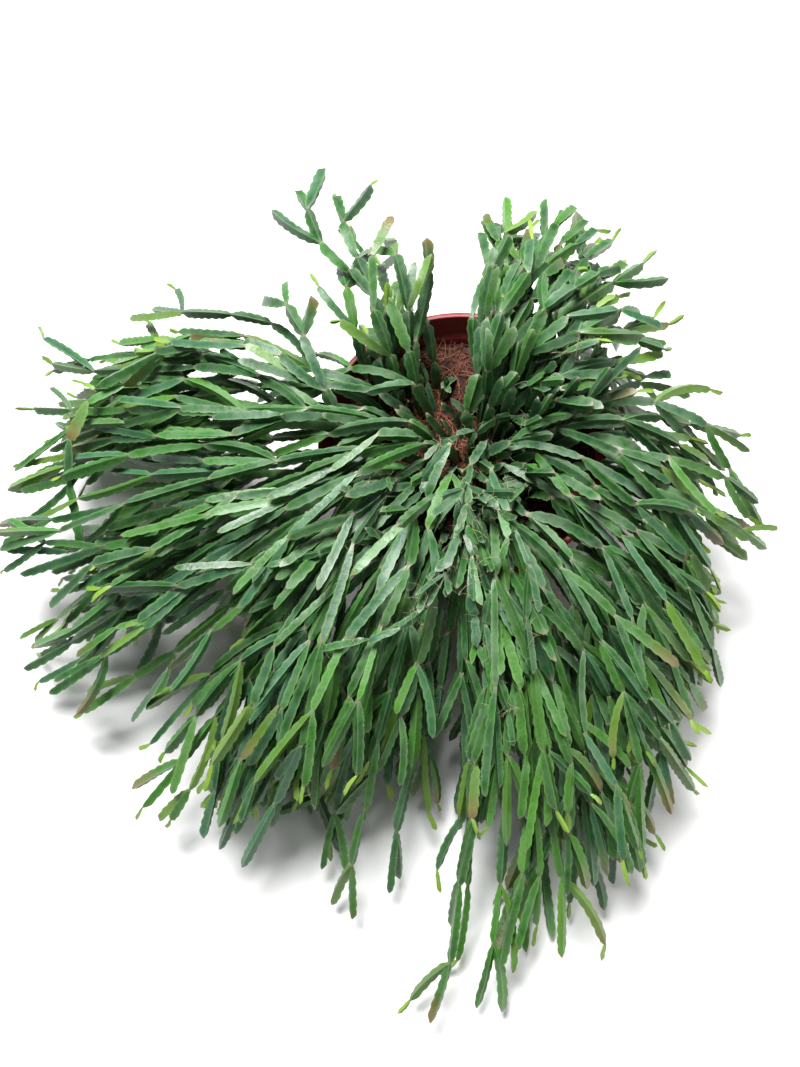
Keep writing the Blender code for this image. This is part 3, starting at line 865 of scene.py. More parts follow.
def growMoreFork(stem, chain, joint, wanted, rng, room, shade, allowed):
    last = joint == len(chain.pieces)
    before = chain.pieces[joint - 1]
    if last:
        way = wayOn(before, 1)
        rest = [before.tip + (way + up * (-0.25 * k / 10)) * (0.02 * k) for k in range(11)]
    else:
        rest = restOf(chain.course, before.tip)
    kin = chain.taken[max(0, joint - 1):joint + 1] + [other.taken[0] for at, other in chain.extra if at == joint]
    if joint in chain.forks:
        kin.append(chain.forks[joint].taken[0])
    best = None
    far = rng.random() < thatch["farShare"]
    for _ in range(thatch["forkDraws"]):
        length = sum(rng.uniform(*stem.sheaf.piece) for _ in range(wanted))
        yaw = math.radians(rng.choice((-1, 1)) * rng.uniform(*thatch["opening"]))
        course = forkCourse(rest, yaw, math.radians(rng.uniform(-30, 24)), length)
        pieces = loosePieces(course, stem.sheaf, rng, joint)
        run = shade.wantedRun(pieces, far)
        if not run or shade.cost(pieces[:run]) - 0.25 * run > allowed:
            continue
        run, bodies = freeRun(pieces[:run], stem.left, room, kin)
        if not run:
            continue
        cost = shade.cost(pieces[:run]) - 0.25 * run
        if best is None or cost < best[0]:
            best = (cost, run, course, pieces, bodies)
    if best is None or best[0] > allowed:
        return 0
    _, run, course, pieces, bodies = best
    made = Chain(course, pieces[:run], bodies[:run], room)
    chain.extra.append((joint, made))
    shade.add(made.pieces)
    return run


def chainsOf(stem):
    chains, waiting = [], [stem.chain]
    while waiting:
        chain = waiting.pop()
        chains.append(chain)
        waiting += list(chain.forks.values()) + [other for _, other in chain.extra]
    return chains


def growThatch(stems, roots, room):
    rng = random.Random(thatch["seed"])
    shade = Shade([piece for stem in stems for chain in chainsOf(stem) for piece in chain.pieces])
    more = []
    for name, count, reachShares in thatch["stems"]:
        sheaf = next((sheaf for sheaf in sheaves if sheaf.name == name), crown)
        for number in range(count):
            stem = growMoreStem(f"more_{name}", sheaf, reachShares, rng, room, roots, shade)
            if stem:
                more.append(stem)
    chains = [(stem, chain) for stem in stems + more if stem.sheaf.name != "young" for chain in chainsOf(stem)]
    count = sum(len(chain.pieces) for _, chain in chains)
    print(f"thatch: {len(more)} more stems, {count} pieces")
    low, high = thatch["shadeAllowed"]
    for attempt in range(thatch["tries"]):
        if count >= thatch["pieces"]:
            break
        stem, chain = rng.choice(chains)
        joint = rng.randint(1, len(chain.pieces))
        if sum(at == joint for at, _ in chain.extra) > 1:
            continue
        allowed = low + (high - low) * attempt / thatch["tries"]
        grown = growMoreFork(stem, chain, joint, rng.choice((1, 1, 2, 3)), rng, room, shade, allowed)
        if grown:
            chains.append((stem, chain.extra[-1][1]))
            count += grown
    print(f"thatch: {count} stem pieces after {attempt + 1} draws")
    return more


def growYoungTips(stems, room):
    # Short new pieces at the ends of chains, one to three together
    rng = random.Random(thatch["seed"] + 1)
    made = 0
    for stem in stems:
        for chain in chainsOf(stem):
            if chain.extra and any(at == len(chain.pieces) for at, _ in chain.extra):
                continue
            last = chain.pieces[-1]
            if rng.random() > thatch["youngShare"] or reachSeen(last.tip)[0] < thatch["youngFrom"]:
                continue
            for _ in range(rng.choice((1, 1, 2, 2, 3))):
                way = (wayOn(last, 1) + Vector([rng.uniform(-0.45, 0.45) for _ in range(3)])).normalized()
                tip = aboveSurface(last.tip + way * rng.uniform(*thatch["youngLength"]))
                bow = Vector([rng.uniform(-0.001, 0.001) for _ in range(3)])
                wing = rng.uniform(*thatch["youngWing"])
                if not insideFrame(tip):
                    continue
                piece = Piece(last.tip, tip, bow, rng.uniform(-60, 60), wing, rng.uniform(0.6, 0.95))
                run, bodies = freeRun([piece], stem.left, room, (chain.taken[-1],))
                if run:
                    chain.extra.append((len(chain.pieces), Chain([], [piece], bodies, room, "young")))
                    made += 1
    print(f"young tips: {made}")


# Fine stems: a spine of rings for each chain, and a tree of nodes that draws the three wings round it

stemShape = {
    "slim": (0.83, 1.0),       # a fine wing's reach, as a share of the CAD wing's
    "toothLength": 0.0098,     # from notch to notch along a wing's edge
    "toothSteps": 3,
    "notchDepth": 0.20,
    "flankShare": 0.45,        # where a wing starts to thin out
    "flankThick": 0.20,
    "middleOutline": ((0, 0.34), (0.06, 0.50), (0.16, 0.82), (0.5, 0.96), (0.84, 0.97), (0.95, 0.76), (1, 0.36)),
    "tipOutline": ((0, 0.34), (0.06, 0.50), (0.16, 0.82), (0.5, 0.96), (0.84, 0.95), (0.95, 0.70), (1, 0.18)),
    "tuftLength": 0.0013,
    "tuftShare": 0.10,
}

stemLook = {
    "stem_green_1": {"dark": (0.007, 0.042, 0.006), "mid": (0.030, 0.132, 0.018), "bright": (0.095, 0.30, 0.032)},
    "stem_green_2": {"dark": (0.005, 0.034, 0.008), "mid": (0.021, 0.102, 0.022), "bright": (0.066, 0.24, 0.040)},
    "stem_green_3": {"dark": (0.009, 0.052, 0.006), "mid": (0.043, 0.162, 0.021), "bright": (0.120, 0.34, 0.034)},
    "blue": (0.044, 0.145, 0.080),
    "old": (0.022, 0.064, 0.034),
    "shine": 0.36,
    "young": (0.20, 0.33, 0.030),
    "brown": (0.20, 0.12, 0.05),
    "cork": (0.32, 0.27, 0.19),
    # edge: a pale green painted along the wing edges and the keel ridge as a painted highlight, in place of the sheen
    # there
    "edge": (0.17, 0.36, 0.09),
    "dust": (0.24, 0.31, 0.23),
}


def smooth(x):
    x = min(max(x, 0), 1)
    return x * x * (3 - 2 * x)


class Spine:
    names = ("side", "top", "wing", "keel", "place", "tooth", "isTip", "tint", "old", "young", "brown")

    def __init__(self):
        self.points = []
        self.edges = []
        self.values = {name: [] for name in self.names}

    def add(self, joined, point, way, left, roll, **values):
        side = (left - way * left.dot(way)).normalized()
        top = way.cross(side)
        turn = math.radians(roll)
        values["side"] = side * math.cos(turn) + top * math.sin(turn)
        values["top"] = top * math.cos(turn) - side * math.sin(turn)
        if joined:
            self.edges.append((len(self.points) - 1, len(self.points)))
        self.points.append(point)
        for name in self.names:
            self.values[name].append(values[name])


def addChain(spine, stem, chain, path, rng, root=None):
    slim = rng.uniform(*stemShape["slim"])
    pieces = [piece._replace(wing=piece.wing * slim) for piece in chain.pieces]
    isYoung = chain.kind == "young"
    for number, piece in enumerate(pieces):
        before = pieces[number - 1] if number else piece
        after = pieces[number + 1] if number + 1 < len(pieces) else piece
        isTip = after is piece
        size = (piece.tip - piece.base).length
        toothSteps = stemShape["toothSteps"]
        steps = toothSteps * max(2, round(size / stemShape["toothLength"]))
        start = rng.randrange(toothSteps) / toothSteps
        young = 0.0
        outer = isTip and reachSeen(piece.tip)[0] > thatch["youngFrom"]
        if isYoung:
            young = rng.uniform(0.5, 1.0)
        elif outer and rng.random() < 0.22:
            young = rng.uniform(0.1, 0.5)
        facts = {
            "keel": piece.keel,
            "isTip": float(isTip),
            "tint": min(max(rng.gauss(0, 0.5), -1), 1),
            "brown": rng.uniform(0.4, 1.0) if outer and rng.random() < 0.16 else 0.0,
            "young": young,
        }
        if number == 0 and root is not None:
            bottom = Vector((root.x, root.y, mixSizes["top"] - growth["pegDepth"]))
            wing = growth["pegRadius"] / growth["neckShare"]
            spine.add(False, bottom, up, stem.left, piece.roll, wing=wing, place=0.0, tooth=start, old=1.0, **facts)
        for step in range(1 if number else 0, steps + 1):
            t = step / steps
            way = wayOn(piece, t)
            roll, wing = piece.roll, piece.wing
            if t < 0.2:
                near = 1 - smooth(t / 0.2)
                roll += near * ((before.roll + piece.roll) / 2 - piece.roll)
                wing += near * (min(before.wing, piece.wing) - piece.wing)
            if t > 0.8:
                near = smooth((t - 0.8) / 0.2)
                roll += near * ((after.roll + piece.roll) / 2 - piece.roll)
                wing += near * (min(after.wing, piece.wing) - piece.wing)
                if step == steps and not isTip:
                    way = (way + wayOn(after, 0)).normalized()
            point = placeOn(piece, t)
            if step == 0 and root is None:
                point = point - way * 0.0012       # a fork starts inside the neck it leaves
            joined = not (number == 0 and step == 0 and root is None)
            old = math.exp(-(path + size * t) / 0.13)
            spine.add(joined, point, way, stem.left, roll, wing=wing, place=t, tooth=start + step / toothSteps,
                      old=old, **facts)
        path += size
        for joint, fork in [*chain.forks.items(), *chain.extra]:
            if joint == number + 1:
                fork.path = path
    for _, fork in [*chain.forks.items(), *chain.extra]:
        addChain(spine, stem, fork, fork.path, rng)


def buildProfile():
    # Nine points round a stem: for each wing its two flanks and its edge
    rows = []
    for k, angle in enumerate(growth["wingAngles"]):
        rows += [(angle, stemShape["flankShare"], -stemShape["flankThick"], k, 0.25),
                 (angle, 1, 0, k, 1),
                 (angle, stemShape["flankShare"], stemShape["flankThick"], k, 0.25)]
    count = len(rows)
    points = [(math.cos(math.tau * i / count), math.sin(math.tau * i / count), 0) for i in range(count)]
    profile = meshObject("wingProfile", points, [], [(i, (i + 1) % count) for i in range(count)])
    for column, name in enumerate(("theta", "reachShare", "lean", "wingNumber", "edge")):
        values = [float(row[column]) for row in rows]
        putAttribute(profile, name, [math.radians(v) for v in values] if name == "theta" else values)
    return profile


def buildTuft():
    # Three fine bristles that spread from one point, for an areole
    rng = random.Random(9)
    points, faces = [], []
    for k in range(3):
        lean = compass(120 * k + rng.uniform(-20, 20)) * 0.5 + up
        tip = lean.normalized() * rng.uniform(0.7, 1.0)
        first = len(points)
        points += [compass(120 * k + a) * 0.11 for a in (0, 120, 240)] + [tip]
        faces += [(first, first + 1, first + 3), (first + 1, first + 2, first + 3), (first + 2, first, first + 3),
                  (first + 2, first + 1, first)]
    return meshObject("tuft", points, faces)


def named(tree, name, kind="FLOAT"):
    return put(tree, "GeometryNodeInputNamedAttribute", {"Name": name}, data_type=kind).outputs["Attribute"]


def outlineCurve(tree, place, shares):
    node = put(tree, "ShaderNodeFloatCurve", {"Value": place})
    curve = node.mapping.curves[0]
    curve.points[0].location = shares[0]
    curve.points[-1].location = shares[-1]
    for share in shares[1:-1]:
        curve.points.new(*share)
    node.mapping.update()
    return node.outputs[0]


def buildWingedTree():
    tree, given, wanted = newTree("wingedStem", "GeometryNodeTree", (
        ("Spine", "NodeSocketGeometry", None),
        ("Profile", "NodeSocketObject", None),
        ("Tuft", "NodeSocketObject", None),
        ("Notch Depth", "NodeSocketFloat", stemShape["notchDepth"]),
        ("Tuft Length", "NodeSocketFloat", stemShape["tuftLength"]),
        ("Tuft Share", "NodeSocketFloat", stemShape["tuftShare"]),
        ("Seed", "NodeSocketInt", 1),
        ("Skin", "NodeSocketMaterial", None),
        ("Bristle", "NodeSocketMaterial", None),
    ), (("Mesh", "NodeSocketGeometry"),))
    curve = put(tree, "GeometryNodeMeshToCurve", {"Mesh": given["Spine"]})
    keep = tree.nodes.new("GeometryNodeCaptureAttribute")
    keep.capture_items.new("VECTOR", "spineAt")
    feed(tree, keep.inputs["Geometry"], curve.outputs[0])
    feed(tree, keep.inputs["spineAt"], tree.nodes.new("GeometryNodeInputPosition").outputs[0])
    profile = put(tree, "GeometryNodeObjectInfo", {"Object": given["Profile"]})
    loop = put(tree, "GeometryNodeMeshToCurve", {"Mesh": profile.outputs["Geometry"]})
    skin = put(tree, "GeometryNodeCurveToMesh", {
        "Curve": keep.outputs["Geometry"], "Profile Curve": loop.outputs[0], "Scale": 0.001, "Fill Caps": True,
    })
    wing, number = named(tree, "wing"), named(tree, "wingNumber")
    middle = outlineCurve(tree, named(tree, "place"), stemShape["middleOutline"])
    tip = outlineCurve(tree, named(tree, "place"), stemShape["tipOutline"])
    isTip = named(tree, "isTip")
    spread = put(tree, "ShaderNodeMix", {"Factor": isTip, "A": middle, "B": tip}).outputs[0]
    # The notches of the three wings stand a part of a tooth apart. Past a notch the edge swells out again.
    stagger = maths(tree, "MULTIPLY_ADD", number, 2 / stemShape["toothSteps"], 0.01)
    along = maths(tree, "FRACT", maths(tree, "ADD", named(tree, "tooth"), stagger))
    notch = maths(tree, "POWER", maths(tree, "SUBTRACT", 1, along), 2.2)
    isKeel = maths(tree, "COMPARE", number, 0, 0.1)
    keel = maths(tree, "ADD", 1, maths(tree, "MULTIPLY", isKeel, maths(tree, "SUBTRACT", named(tree, "keel"), 1)))
    cut = maths(tree, "SUBTRACT", 1, maths(tree, "MULTIPLY", notch, given["Notch Depth"]))
    reach = maths(tree, "MULTIPLY", maths(tree, "MULTIPLY", wing, spread), maths(tree, "MULTIPLY", keel, cut))
    out = maths(tree, "MULTIPLY", named(tree, "reachShare"), reach)
    thin = maths(tree, "MULTIPLY", spread, 1.9, clamp=True)
    lean = maths(tree, "MULTIPLY", maths(tree, "MULTIPLY", named(tree, "lean"), wing), thin)
    cosine = maths(tree, "COSINE", named(tree, "theta"))
    sine = maths(tree, "SINE", named(tree, "theta"))
    across = maths(tree, "SUBTRACT", maths(tree, "MULTIPLY", cosine, out), maths(tree, "MULTIPLY", sine, lean))
    high = maths(tree, "ADD", maths(tree, "MULTIPLY", sine, out), maths(tree, "MULTIPLY", cosine, lean))
    place = vectors(tree, "ADD", vectors(tree, "SCALE", named(tree, "side", "FLOAT_VECTOR"), across),
                    vectors(tree, "SCALE", named(tree, "top", "FLOAT_VECTOR"), high))
    place = vectors(tree, "ADD", place, keep.outputs["spineAt"])
    stored = put(tree, "GeometryNodeStoreNamedAttribute", {
        "Geometry": skin.outputs[0], "Name": "notchMask", "Value": notch,
    }, data_type="FLOAT", domain="POINT")
    shaped = put(tree, "GeometryNodeSetPosition", {"Geometry": stored.outputs[0], "Position": place})
    soft = put(tree, "GeometryNodeSetShadeSmooth", {"Geometry": shaped.outputs[0], "Shade Smooth": True})
    onEdge = maths(tree, "GREATER_THAN", named(tree, "edge"), 0.99)
    rounded = put(tree, "GeometryNodeSetShadeSmooth", {
        "Geometry": soft.outputs[0], "Selection": onEdge, "Shade Smooth": False,
    }, domain="EDGE")
    painted = put(tree, "GeometryNodeSetMaterial", {"Geometry": rounded.outputs[0], "Material": given["Skin"]})
    # Tufts stand in some of the notches
    atEdge = maths(tree, "GREATER_THAN", named(tree, "edge"), 0.99)
    atNotch = maths(tree, "GREATER_THAN", named(tree, "notchMask"), 0.9)
    lucky = put(tree, "FunctionNodeRandomValue", {"Seed": given["Seed"]}, data_type="FLOAT")
    chosen = maths(tree, "LESS_THAN", lucky.outputs[1], given["Tuft Share"])
    chosen = maths(tree, "MULTIPLY", maths(tree, "MULTIPLY", atEdge, atNotch), chosen)
    points = put(tree, "GeometryNodeMeshToPoints", {"Mesh": rounded.outputs[0], "Selection": chosen})
    facing = put(tree, "FunctionNodeAlignRotationToVector", {
        "Vector": tree.nodes.new("GeometryNodeInputNormal").outputs[0],
    }, axis="Z")
    held = tree.nodes.new("GeometryNodeCaptureAttribute")
    held.capture_items.new("ROTATION", "facing")
    feed(tree, held.inputs["Geometry"], rounded.outputs[0])
    feed(tree, held.inputs["facing"], facing.outputs[0])
    feed(tree, points.inputs["Mesh"], held.outputs["Geometry"])
    tuft = put(tree, "GeometryNodeObjectInfo", {"Object": given["Tuft"]})
    size = put(tree, "FunctionNodeRandomValue", {2: 0.6, 3: 1.3, "Seed": given["Seed"]}, data_type="FLOAT")
    tufts = put(tree, "GeometryNodeInstanceOnPoints", {
        "Points": points.outputs[0], "Instance": tuft.outputs["Geometry"], "Rotation": held.outputs["facing"],
        "Scale": maths(tree, "MULTIPLY", size.outputs[1], given["Tuft Length"]),
    })
    solid = put(tree, "GeometryNodeRealizeInstances", {"Geometry": tufts.outputs[0]})
    pale = put(tree, "GeometryNodeSetMaterial", {"Geometry": solid.outputs[0], "Material": given["Bristle"]})
    both = tree.nodes.new("GeometryNodeJoinGeometry")
    feed(tree, both.inputs[0], painted.outputs[0])
    feed(tree, both.inputs[0], pale.outputs[0])
    feed(tree, wanted["Mesh"], both.outputs[0])
    return tree


def buildStems(stems, rest, skins, bristle):
    tree, profile, tuft = buildWingedTree(), buildProfile(), buildTuft()
    groups = [(stem.name, [stem], f"stem_green_{number % 3 + 1}") for number, stem in enumerate(stems)]
    for number, (name, *_) in enumerate(thatch["stems"]):
        group = [stem for stem in rest if stem.name == f"more_{name}"]
        groups.append((f"more_stems_{name}", group, f"stem_green_{number % 3 + 1}"))
    made = []
    for seed, (name, group, slot) in enumerate(groups):
        spine = Spine()
        rng = random.Random(f"looks {name}")
        for stem in group:
            addChain(spine, stem, stem.chain, 0.0, rng, stem.root)
        isNode = name.startswith("stem_")
        obj = meshObject(f"fine_{name}" if isNode else name, spine.points, [], spine.edges)
        for key, values in spine.values.items():
            putAttribute(obj, key, values)
        runTree(obj, tree, {"Profile": profile, "Tuft": tuft, "Seed": seed, "Skin": skins[slot], "Bristle": bristle})
        dropAttributes(obj, ("side", "top", "wing", "keel", "tooth", "isTip", "theta", "reachShare", "lean",
                             "wingNumber"))
        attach(obj, "root")
        if isNode:
            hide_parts(name)
        made.append(obj)
    for helper in (profile, tuft):
        bpy.data.objects.remove(helper)
    faces = sum(len(obj.data.polygons) for obj in made)
    print(f"stems: {len(made)} pieces, {faces} faces")
    return made


# Shader effects that several materials share


def mixColour(tree, factor, a, b, blend="MIX"):
    node = put(tree, "ShaderNodeMix", data_type="RGBA", blend_type=blend)
    for socket, value in ((node.inputs[0], factor), (node.inputs[6], a), (node.inputs[7], b)):
        feed(tree, socket, (*value, 1) if isinstance(value, tuple) and len(value) == 3 else value)
    return node.outputs[2]


def attribute(tree, name):
    return put(tree, "ShaderNodeAttribute", attribute_name=name).outputs["Fac"]


def objectCoords(tree):
    return tree.nodes.new("ShaderNodeTexCoord").outputs["Object"]


def noise(tree, scale, detail=3.0, stretch=None):
    coords = objectCoords(tree)
    if stretch:
        coords = vectors(tree, "MULTIPLY", coords, stretch)
    node = put(tree, "ShaderNodeTexNoise", {"Vector": coords, "Scale": scale, "Detail": detail})
    return node.outputs["Fac"]


def ranged(tree, value, low, high, toLow=0.0, toHigh=1.0):
    return put(tree, "ShaderNodeMapRange", {0: value, 1: low, 2: high, 3: toLow, 4: toHigh}).outputs[0]


def buildMottle():
    tree, given, wanted = newTree("mottle", "ShaderNodeTree", (
        ("Scale", "NodeSocketFloat", 100.0), ("Low", "NodeSocketFloat", 0.4), ("High", "NodeSocketFloat", 0.65),
    ), (("Mask", "NodeSocketFloat"),))
    feed(tree, wanted["Mask"], ranged(tree, noise(tree, given["Scale"], 4.0), given["Low"], given["High"]))
    return tree


def buildDustVeil():
    # Dust lies on what faces up, in patches
    tree, given, wanted = newTree("dustVeil", "ShaderNodeTree", (
        ("Color", "NodeSocketColor", None), ("Dust", "NodeSocketColor", None),
        ("Amount", "NodeSocketFloat", 0.3), ("Scale", "NodeSocketFloat", 90.0),
    ), (("Color", "NodeSocketColor"), ("Mask", "NodeSocketFloat")))
    split = put(tree, "ShaderNodeSeparateXYZ", {0: tree.nodes.new("ShaderNodeNewGeometry").outputs["Normal"]})
    facing = ranged(tree, split.outputs["Z"], -0.1, 0.9)
    patches = ranged(tree, noise(tree, given["Scale"], 5.0), 0.38, 0.62)
    mask = maths(tree, "MULTIPLY", maths(tree, "MULTIPLY", facing, patches), given["Amount"], clamp=True)
    feed(tree, wanted["Color"], mixColour(tree, mask, given["Color"], given["Dust"]))
    feed(tree, wanted["Mask"], mask)
    return tree


def buildRelief():
    tree, given, wanted = newTree("relief", "ShaderNodeTree", (
        ("Scale", "NodeSocketFloat", 400.0), ("Strength", "NodeSocketFloat", 0.3),
        ("Depth", "NodeSocketFloat", 0.0004),
    ), (("Normal", "NodeSocketVector"),))
    bump = put(tree, "ShaderNodeBump", {
        "Strength": given["Strength"], "Distance": given["Depth"], "Height": noise(tree, given["Scale"], 4.0),
    })
    feed(tree, wanted["Normal"], bump.outputs["Normal"])
    return tree


def placeGroup(tree, group, **values):
    node = put(tree, "ShaderNodeGroup", node_tree=group)
    for name, value in values.items():
        socket = node.inputs[name.replace("_", " ")]
        feed(tree, socket, (*value, 1) if isinstance(value, tuple) and len(value) == 3 else value)
    return node.outputs


def stemSkin(name, look, effects):
    made, tree, shader = newMaterial(name)
    mottle, dustVeil, relief = effects
    broad = placeGroup(tree, mottle, Scale=55.0, Low=0.36, High=0.66)["Mask"]
    fine = placeGroup(tree, mottle, Scale=420.0, Low=0.35, High=0.7)["Mask"]
    colour = mixColour(tree, broad, look["dark"], look["mid"])
    tint = attribute(tree, "tint")
    colour = mixColour(tree, ranged(tree, tint, 0.0, 1.0, 0.0, 0.85), colour, look["bright"])
    blue = ranged(tree, tint, 0.0, -1.0, 0.0, 0.8)
    colour = mixColour(tree, blue, colour, stemLook["blue"])
    old = attribute(tree, "old")
    colour = mixColour(tree, maths(tree, "MULTIPLY", old, 0.75), colour, stemLook["old"])
    colour = mixColour(tree, maths(tree, "MULTIPLY", fine, 0.38), colour, look["dark"])
    # Painted highlight: the wing edges and the keel ridge are mixed towards the pale edge green, standing in for the
    # sheen along them
    edge = maths(tree, "POWER", attribute(tree, "edge"), 3.0)
    colour = mixColour(tree, maths(tree, "MULTIPLY", edge, 0.5), colour, stemLook["edge"])
    young = attribute(tree, "young")
    colour = mixColour(tree, young, colour, stemLook["young"])
    place = attribute(tree, "place")
    atTip = ranged(tree, place, 0.45, 1.0)
    colour = mixColour(tree, maths(tree, "MULTIPLY", attribute(tree, "brown"), atTip), colour, stemLook["brown"])
    toJoint = maths(tree, "MINIMUM", place, maths(tree, "SUBTRACT", 1.0, place))
    neck = ranged(tree, toJoint, 0.07, 0.0)
    corky = maths(tree, "MULTIPLY", neck, ranged(tree, old, 0.05, 0.6, 0.25, 0.9))
    colour = mixColour(tree, corky, colour, stemLook["cork"])
    dusty = placeGroup(tree, dustVeil, Color=colour, Dust=stemLook["dust"], Scale=70.0,
                       Amount=ranged(tree, old, 0.0, 0.8, 0.09, 0.5))
    feed(tree, shader.inputs["Base Color"], dusty["Color"])
    rough = maths(tree, "MULTIPLY_ADD", dusty["Mask"], 0.35, ranged(tree, broad, 0.0, 1.0, 0.32, 0.44))
    feed(tree, shader.inputs["Roughness"], rough)
    shader.inputs["Specular IOR Level"].default_value = stemLook["shine"]
    feed(tree, shader.inputs["Normal"], placeGroup(tree, relief, Scale=330.0, Strength=0.5, Depth=0.0007)["Normal"])
    return made


def bristleSkin():
    made, tree, shader = newMaterial("areoleBristle")
    tone = mixColour(tree, noise(tree, 300.0), (0.55, 0.50, 0.40), (0.28, 0.22, 0.15))
    feed(tree, shader.inputs["Base Color"], tone)
    shader.inputs["Roughness"].default_value = 0.7
    return made


# Potting mix: an uneven bed, with chips of bark and strands of coconut fibre scattered over it

mixLook = {
    "dark": (0.010, 0.003, 0.002),
    "mid": (0.070, 0.015, 0.008),
    "pale": (0.135, 0.036, 0.018),
    "fibre": (0.30, 0.115, 0.058),
    "fibreDark": (0.09, 0.022, 0.011),
}


def wallRadius(height):
    share = height / (potSizes["height"] - potSizes["bandHeight"])
    return potSizes["footRadius"] + (potSizes["neckRadius"] - potSizes["footRadius"]) * share


def mixSkin(name, dark, mid, pale, effects):
    made, tree, shader = newMaterial(name)
    mottle, _, relief = effects
    coarse = placeGroup(tree, mottle, Scale=160.0, Low=0.38, High=0.62)["Mask"]
    fine = placeGroup(tree, mottle, Scale=600.0, Low=0.5, High=0.72)["Mask"]
    colour = mixColour(tree, coarse, dark, mid)
    colour = mixColour(tree, maths(tree, "MULTIPLY", attribute(tree, "tone"), 0.8), colour, pale)
    colour = mixColour(tree, maths(tree, "MULTIPLY", fine, 0.5), colour, dark)
    feed(tree, shader.inputs["Base Color"], colour)
    feed(tree, shader.inputs["Roughness"], ranged(tree, coarse, 0.0, 1.0, 0.95, 0.8))
    feed(tree, shader.inputs["Normal"], placeGroup(tree, relief, Scale=700.0, Strength=0.6, Depth=0.0008)["Normal"])
    return made


def buildChip(seed):
    # A flake of bark: a block with its corners pushed about
    rng = random.Random(seed)
    points = []
    for x in (-1, 1):
        for y in (-1, 1):
            for z in (-1, 1):
                jitter = [rng.uniform(0.55, 1.1) for _ in range(3)]
                points.append((0.0034 * x * jitter[0], 0.0016 * y * jitter[1], 0.0007 * z * jitter[2]))
    faces = [(0, 1, 3, 2), (4, 6, 7, 5), (0, 4, 5, 1), (2, 3, 7, 6), (0, 2, 6, 4), (1, 5, 7, 3)]
    return meshObject(f"chip{seed}", points, faces)


def buildStrand(seed):
    # A curved strand of fibre, three sided
    rng = random.Random(seed)
    bend, lift = rng.uniform(-0.9, 0.9), rng.uniform(0.0, 0.0022)
    size, count = 0.013, 7
    points, faces = [], []
    for i in range(count):
        t = i / (count - 1) - 0.5
        centre = Vector((size * t * 2, size * bend * (t * t - 0.1) * 2, lift * (1 - 4 * t * t)))
        centre += Vector((0, rng.uniform(-0.0004, 0.0004), rng.uniform(-0.0002, 0.0003)))
        for k in range(3):
            turn = math.tau * k / 3
            points.append(centre + Vector((0, math.cos(turn), math.sin(turn))) * 0.00022)
    for i in range(count - 1):
        for k in range(3):
            a, b = 3 * i + k, 3 * i + (k + 1) % 3
            faces.append((a, b, b + 3, a + 3))
    faces += [(2, 1, 0), (len(points) - 3, len(points) - 2, len(points) - 1)]
    return meshObject(f"strand{seed}", points, faces)


def buildScatterTree():
    # Scatters three shapes over the faces that look up, laid flat but for a random tilt
    tree, given, wanted = newTree("scatter", "GeometryNodeTree", (
        ("Bed", "NodeSocketGeometry", None),
        ("First", "NodeSocketObject", None), ("Second", "NodeSocketObject", None), ("Third", "NodeSocketObject", None),
        ("Density", "NodeSocketFloat", 1000.0), ("Small", "NodeSocketFloat", 0.6), ("Large", "NodeSocketFloat", 1.4),
        ("Tilt", "NodeSocketFloat", 0.5), ("Rise", "NodeSocketFloat", 0.0005), ("Seed", "NodeSocketInt", 1),
        ("Skin", "NodeSocketMaterial", None), ("Keep Bed", "NodeSocketBool", True),
    ), (("Mesh", "NodeSocketGeometry"),))
    normal = tree.nodes.new("GeometryNodeInputNormal").outputs[0]
    split = put(tree, "ShaderNodeSeparateXYZ", {0: normal})
    facing = maths(tree, "GREATER_THAN", split.outputs["Z"], 0.4)
    points = put(tree, "GeometryNodeDistributePointsOnFaces", {
        "Mesh": given["Bed"], "Selection": facing, "Density": given["Density"], "Seed": given["Seed"],
    })
    lifted = put(tree, "GeometryNodeSetPosition", {"Geometry": points.outputs[0]})
    feed(tree, lifted.inputs["Offset"], vectors(tree, "SCALE", (0, 0, 1), given["Rise"]))
    shapes = tree.nodes.new("GeometryNodeJoinGeometry")
    for label in ("Third", "Second", "First"):
        shape = put(tree, "GeometryNodeObjectInfo", {"Object": given[label], "As Instance": True})
        feed(tree, shapes.inputs[0], shape.outputs["Geometry"])
    negative = maths(tree, "MULTIPLY", given["Tilt"], -1)
    low = put(tree, "ShaderNodeCombineXYZ", {0: negative, 1: negative, 2: -math.pi})
    high = put(tree, "ShaderNodeCombineXYZ", {0: given["Tilt"], 1: given["Tilt"], 2: math.pi})
    turn = put(tree, "FunctionNodeRandomValue", {0: low.outputs[0], 1: high.outputs[0], "Seed": given["Seed"]},
               data_type="FLOAT_VECTOR")
    size = put(tree, "FunctionNodeRandomValue", {2: given["Small"], 3: given["Large"], "Seed": given["Seed"]},
               data_type="FLOAT")
    placed = put(tree, "GeometryNodeInstanceOnPoints", {
        "Points": lifted.outputs[0], "Instance": shapes.outputs[0], "Pick Instance": True,
        "Rotation": put(tree, "FunctionNodeEulerToRotation", {0: turn.outputs[0]}).outputs[0],
        "Scale": size.outputs[1],
    })
    tone = put(tree, "FunctionNodeRandomValue", {2: 0.0, 3: 1.0, "Seed": given["Seed"]}, data_type="FLOAT")
    toned = put(tree, "GeometryNodeStoreNamedAttribute", {
        "Geometry": placed.outputs[0], "Name": "tone", "Value": tone.outputs[1],
    }, data_type="FLOAT", domain="INSTANCE")
    solid = put(tree, "GeometryNodeRealizeInstances", {"Geometry": toned.outputs[0]})
    bed = put(tree, "GeometryNodeSwitch", {"Switch": given["Keep Bed"], "True": given["Bed"]}, input_type="GEOMETRY")
    both = tree.nodes.new("GeometryNodeJoinGeometry")
    feed(tree, both.inputs[0], bed.outputs[0])
    feed(tree, both.inputs[0], solid.outputs[0])
    painted = put(tree, "GeometryNodeSetMaterial", {"Geometry": both.outputs[0], "Material": given["Skin"]})
    feed(tree, wanted["Mesh"], painted.outputs[0])
    return tree


